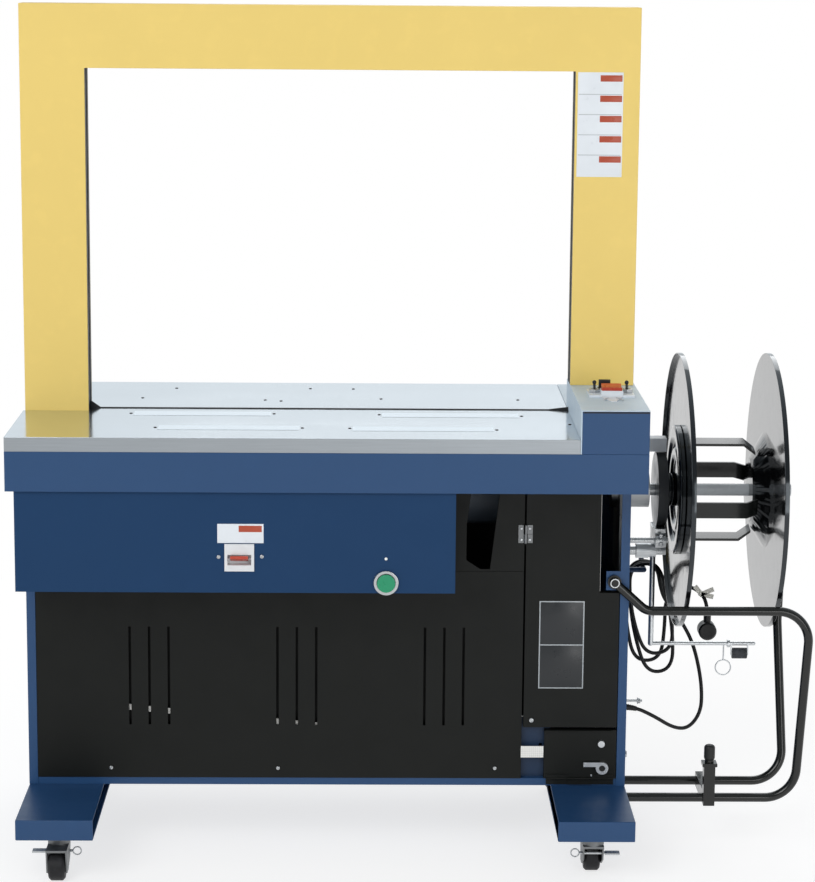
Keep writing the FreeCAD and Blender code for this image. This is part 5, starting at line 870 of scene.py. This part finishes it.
class STRAPPER_OT_fittings(bpy.types.Operator):
    """Adds the small fittings of the front, the table, the switches, the reel and the side"""

    bl_idname = "strapper.fittings"
    bl_label = "Small fittings"

    def execute(self, context):
        sizes = context.scene.strapper_sizes
        self.front_fittings(sizes)
        self.table_fittings(sizes)
        self.switch_fittings()
        self.reel_fittings()
        self.side_fittings()
        return {"FINISHED"}

    def front_fittings(self, sizes):
        """The pilot lamp, the strap's end, the strap behind the slots, a black strip of painted shade in the
        gap under the cover's front, and a hinge leaf.
        """
        lamp = disc((99.6, -239.5, 563), 2.6, 3, "Y")
        soften(lamp, 1.2 * MM, 50, 4)
        settle(lamp, "pilot_lamp", "machine", "lamp_lens")
        thick = sizes.strap / MM
        strap = block((341, -98.8 - thick, 172.5), (381, -98.8, 193.5))
        modify(strap, "BEVEL", width=0.3 * MM, segments=2, limit_method="ANGLE")
        settle(strap, "strap_end", "machine", "embossed_strap")
        waiting = block((-400, -90 - thick, 240), (10, -90, 250))
        only(waiting)
        bpy.ops.object.mode_set(mode="EDIT")
        bpy.ops.mesh.select_all(action="SELECT")
        bpy.ops.mesh.subdivide(number_cuts=6)
        bpy.ops.transform.rotate(value=math.radians(-5.6), orient_axis="Y",
                                 center_override=at(-195, -90, 245))
        bpy.ops.object.mode_set(mode="OBJECT")
        settle(waiting, "waiting_strap", "machine", "embossed_strap")
        # A thin black strip under the cover's front edge: painted shade of the gap between cover and block.
        gap_shade = block((428, -245.7, 815.2), (540, -245.1, 817.4))
        modify(gap_shade, "BEVEL", width=0.15 * MM, segments=2)
        settle(gap_shade, "cover_gap_painted_shade", "machine", "black_nylon")
        leaf = block((347.2, -97.5, 560), (356, -96.05, 575.6))
        soften(leaf, sizes.edge * 0.6)
        settle(leaf, "door_hinge_leaf", "door", "galvanised_sheet")

    def table_fittings(self, sizes):
        """A black strip of painted shade in the strap slot's gap, and the glide strips between the front
        half's screws, lighter than the table as a painted highlight.
        """
        # A black strip in the gap between the table halves: painted shade of the slot.
        slot_shade = block((-414, 48.4, 767), (414, 51.6, 771.6))
        soften(slot_shade, sizes.edge)
        settle(slot_shade, "slot_gap_painted_shade", "machine", "track_polyethylene")
        rows = [(-348, -97, -5), (-295, -44, -145.5), (37, 288, -150), (88, 338, -12)]
        for number, (left, right, middle) in enumerate(rows, 1):
            top = 770 + 0.5 * sizes.strap / MM
            strip = block((left + 5, middle - 21, 769.9), (right - 5, middle + 21, top))
            cut_up(strip, 3)
            soften(strip, sizes.strap * 0.15)
            # The strip's finish is lighter than the table's steel: partly polish, partly a painted highlight.
            settle(strip, f"glide_strip_{number}", "table_front", "polished_strip_and_painted_highlight")

    def switch_fittings(self):
        """The toggles' nuts, and the pale pointed plate in front of the rocker with its two bars."""
        for side, across in (("left", 460), ("right", 516)):
            nut = disc((across, -78, 827), 10.5, 6, "Z", 6)
            bore = disc((across, -78, 827), 6.8, 10, "Z", 32)
            carve(nut, bore)
            soften(nut, 0.8 * MM, 30)
            settle(nut, f"toggle_nut_{side}", "machine", "zinc_plate")
        plate = block((468, -156, 820), (506, -112, 821.6))
        only(plate)
        bpy.ops.object.mode_set(mode="EDIT")
        bpy.ops.mesh.select_all(action="DESELECT")
        bpy.ops.object.mode_set(mode="OBJECT")
        for vertex in plate.data.vertices:
            vertex.select = vertex.co.y < at(0, -150, 0).y
        bpy.ops.object.mode_set(mode="EDIT")
        bpy.ops.transform.resize(value=(0.25, 1, 1), center_override=at(487, -156, 821))
        bpy.ops.object.mode_set(mode="OBJECT")
        soften(plate, 0.5 * MM, 30)
        settle(plate, "rocker_escutcheon", "machine", "ivory_case_plastic")
        bars = []
        for side in (-1, 1):
            bar = block((487 + side * 12 - 1.2, -150, 821.6), (487 + side * 12 + 1.2, -122, 822.6))
            only(bar)
            bpy.ops.object.mode_set(mode="EDIT")
            bpy.ops.mesh.select_all(action="SELECT")
            bpy.ops.transform.rotate(value=math.radians(-side * 20), orient_axis="Z",
                                     center_override=at(487 + side * 12, -136, 822))
            bpy.ops.object.mode_set(mode="OBJECT")
            modify(bar, "BEVEL", width=0.4 * MM, segments=2)
            bars.append(bar)
        settle(joined(bars), "escutcheon_bars", "machine", "zinc_plate")

    def reel_fittings(self):
        """The inner flange's pressed rings, the guard clamp's cap, and the guard tube's ring and plug."""
        rings = disc((626.8, 95, 618), 117, 10, "X", 96)
        only(rings)
        for inset, step in ((6, -2), (16, 0), (5, 6), (11, 0), (5, -4), (10, 0), (6, 5)):
            bpy.ops.object.mode_set(mode="EDIT")
            bpy.ops.mesh.select_mode(type="FACE")
            bpy.ops.mesh.select_all(action="DESELECT")
            bpy.ops.object.mode_set(mode="OBJECT")
            face = max(rings.data.polygons, key=lambda f: (-f.normal.x > 0.9) * f.area)
            face.select = True
            bpy.ops.object.mode_set(mode="EDIT")
            bpy.ops.mesh.inset(thickness=inset * MM, depth=0)
            bpy.ops.transform.translate(value=(step * MM, 0, 0))
            bpy.ops.object.mode_set(mode="OBJECT")
        soften(rings, 1.6 * MM, 14, 3)
        settle(rings, "flange_rings", "reel", "reel_gloss_enamel")
        cap = disc((674, -107.35, 185.5), 9.7, 29, "Z", 40)
        soften(cap, 6 * MM, 50, 6)
        settle(cap, "clamp_cap", "machine", "black_nylon")
        ring = disc((500, -112.6, 492), 8.2, 1.2, "Y", 40)
        bore = disc((500, -112.6, 492), 6.4, 4, "Y", 40)
        carve(ring, bore)
        soften(ring, 0.3 * MM, 50)
        settle(ring, "tube_end_ring", "machine", "bright_zinc")
        plug = disc((500, -110.6, 492), 6.3, 3.6, "Y", 40)
        soften(plug, 1 * MM, 50, 3)
        settle(plug, "tube_end_plug", "machine", "black_nylon")

    def side_fittings(self):
        """The threaded stud with its nut and the bolt head on the cabinet's right side."""
        stud = disc((542, -60, 266), 2.4, 31, "X", 24)
        modify(stud, "BEVEL", width=0.6 * MM, segments=2, limit_method="ANGLE")
        nut = disc((552, -60, 266), 5, 4.2, "X", 6)
        modify(nut, "BEVEL", width=0.5 * MM, segments=2, limit_method="ANGLE")
        washer = disc((549.4, -60, 266), 6, 1, "X", 32)
        modify(washer, "BEVEL", width=0.2 * MM, segments=2, limit_method="ANGLE")
        whole = joined([stud, nut, washer])
        settle(whole, "side_stud", "machine", "zinc_plate")
        head = disc((529.4, -60, 168), 6.5, 5.6, "X", 6)
        soften(head, 0.8 * MM, 30)
        settle(head, "side_bolt", "machine", "zinc_plate")


class STRAPPER_OT_studio(bpy.types.Operator):
    """Builds the pale floor, the soft lights and the white surroundings"""

    bl_idname = "strapper.studio"
    bl_label = "Studio"

    def lamp(self, name, place, target, size, power):
        """One large soft light that faces the machine."""
        bpy.ops.object.light_add(type="AREA", location=place)
        light = bpy.context.object
        light.name = name
        light.data.size = size
        light.data.energy = power
        light.rotation_euler = (Vector(target) - Vector(place)).to_track_quat("-Z", "Y").to_euler()

    def surroundings(self, scene):
        """White to the camera and in reflections from behind the machine, and plain soft light elsewhere."""
        world = bpy.data.worlds.new("studio_white")
        scene.world = world
        world.use_nodes = True
        tree = world.node_tree
        shown = tree.nodes["Background"]
        output = tree.nodes["World Output"]
        shown.inputs["Color"].default_value = (1, 1, 1, 1)
        paths = add_node(tree, "LightPath")
        seen = add_node(tree, "Math", {"operation": "MAXIMUM"})
        tree.links.new(paths.outputs["Is Camera Ray"], seen.inputs[0])
        tree.links.new(paths.outputs["Is Transmission Ray"], seen.inputs[1])
        soft = add_node(tree, "Background", {"Color": (0.96, 0.98, 1, 1), "Strength": 0.5})
        sky = add_node(tree, "TexCoord")
        split = add_node(tree, "SeparateXYZ", {}, {"Vector": sky.outputs["Generated"]})
        depth = add_node(
            tree, "MapRange", {"From Min": -0.7, "From Max": 0.35, "To Min": 0.3, "To Max": 0.96},
            {"Value": split.outputs["Y"]},
        )
        cool = {"Color": (0.9, 0.96, 1, 1)}
        mirrored = add_node(tree, "Background", cool, {"Strength": depth.outputs["Result"]})
        first = add_node(tree, "MixShader")
        tree.links.new(paths.outputs["Is Glossy Ray"], first.inputs[0])
        tree.links.new(soft.outputs[0], first.inputs[1])
        tree.links.new(mirrored.outputs[0], first.inputs[2])
        second = add_node(tree, "MixShader")
        tree.links.new(seen.outputs[0], second.inputs[0])
        tree.links.new(first.outputs[0], second.inputs[1])
        tree.links.new(shown.outputs[0], second.inputs[2])
        tree.links.new(second.outputs[0], output.inputs["Surface"])

    def floor(self):
        """A plain pale floor, white far off, that keeps the machine's soft shadow near it."""
        bpy.ops.mesh.primitive_plane_add(size=40, location=(0, 0, 0))
        floor = bpy.context.object
        floor.name = "studio_floor"
        tree, shader, place = start_material("matt_white_floor")
        set_shader(shader, Roughness=0.9, Specular_IOR_Level=0.1)
        cloud = noise(tree, place, 400, 3)
        tree.links.new(
            tint(tree, cloud, linear("#FAFAFA"), linear("#FDFDFD")), shader.inputs["Base Color"]
        )
        glow = add_node(tree, "Emission", {"Strength": 0.7})
        matt = add_node(tree, "BsdfDiffuse", {"Color": (0.42, 0.42, 0.42, 1)})
        near = add_node(tree, "AddShader")
        tree.links.new(glow.outputs[0], near.inputs[0])
        tree.links.new(matt.outputs[0], near.inputs[1])
        white = add_node(tree, "Emission", {"Strength": 1})
        reach = add_node(tree, "VectorMath", {"operation": "LENGTH"}, {"Vector": place})
        away = spread(tree, reach.outputs["Value"], 0, 1, 1.0, 2.2)
        far = add_node(tree, "MixShader")
        tree.links.new(away, far.inputs[0])
        tree.links.new(near.outputs[0], far.inputs[1])
        tree.links.new(white.outputs[0], far.inputs[2])
        paths = add_node(tree, "LightPath")
        mirrored = add_node(tree, "Math", {"operation": "MAXIMUM"})
        tree.links.new(paths.outputs["Is Glossy Ray"], mirrored.inputs[0])
        tree.links.new(paths.outputs["Is Transmission Ray"], mirrored.inputs[1])
        seen = add_node(tree, "Math", {"operation": "MAXIMUM"})
        tree.links.new(paths.outputs["Is Camera Ray"], seen.inputs[0])
        tree.links.new(mirrored.outputs[0], seen.inputs[1])
        shown = add_node(tree, "MixShader")
        tree.links.new(seen.outputs[0], shown.inputs[0])
        tree.links.new(shader.outputs[0], shown.inputs[1])
        tree.links.new(far.outputs[0], shown.inputs[2])
        tree.links.new(shown.outputs[0], tree.nodes["Material Output"].inputs["Surface"])
        paint(floor, "matt_white_floor")

    def execute(self, context):
        self.surroundings(context.scene)
        self.floor()
        middle = (0, 0, 0.8)
        self.lamp("key_softbox", (-2.2, -4.2, 3.4), middle, 2.6, 96)
        self.lamp("fill_softbox", (2.2, -4.4, 0.9), middle, 2.4, 50)
        self.lamp("back_softbox", (0.5, 3.8, 3.2), middle, 2.6, 42)
        context.scene.view_settings.view_transform = "Standard"
        return {"FINISHED"}


class STRAPPER_PT_panel(bpy.types.Panel):
    """The steps of the strapping machine, in order"""

    bl_label = "Strapping machine"
    bl_idname = "STRAPPER_PT_panel"
    bl_space_type = "VIEW_3D"
    bl_region_type = "UI"
    bl_category = "Strapping"

    def draw(self, context):
        for group in (context.scene.strapper_sizes, context.scene.strapper_colours):
            for name in group.bl_rna.properties.keys():
                if name not in ("rna_type", "name"):
                    self.layout.prop(group, name)
        for step in STEPS:
            self.layout.operator("strapper." + step)


STEPS = ["camera", "finishes", "cords", "skins", "arch", "castors", "screws", "plates", "fittings", "studio"]
CLASSES = [
    StrapperColours, StrapperSizes, STRAPPER_OT_camera, STRAPPER_OT_finishes, STRAPPER_OT_cords,
    STRAPPER_OT_skins, STRAPPER_OT_arch, STRAPPER_OT_castors, STRAPPER_OT_screws, STRAPPER_OT_plates,
    STRAPPER_OT_fittings, STRAPPER_OT_studio, STRAPPER_PT_panel,
]


def register():
    """Registers the add-on's classes and its settings."""
    for part in CLASSES:
        bpy.utils.register_class(part)
    bpy.types.Scene.strapper_colours = bpy.props.PointerProperty(type=StrapperColours)
    bpy.types.Scene.strapper_sizes = bpy.props.PointerProperty(type=StrapperSizes)


def unregister():
    """Removes the add-on's settings and classes."""
    del bpy.types.Scene.strapper_sizes
    del bpy.types.Scene.strapper_colours
    for part in reversed(CLASSES):
        bpy.utils.unregister_class(part)


def main():
    """Builds the dressed machine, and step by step."""
    register()
    for step in STEPS:
        getattr(bpy.ops.strapper, step)()


if __name__ == "__main__":
    main()
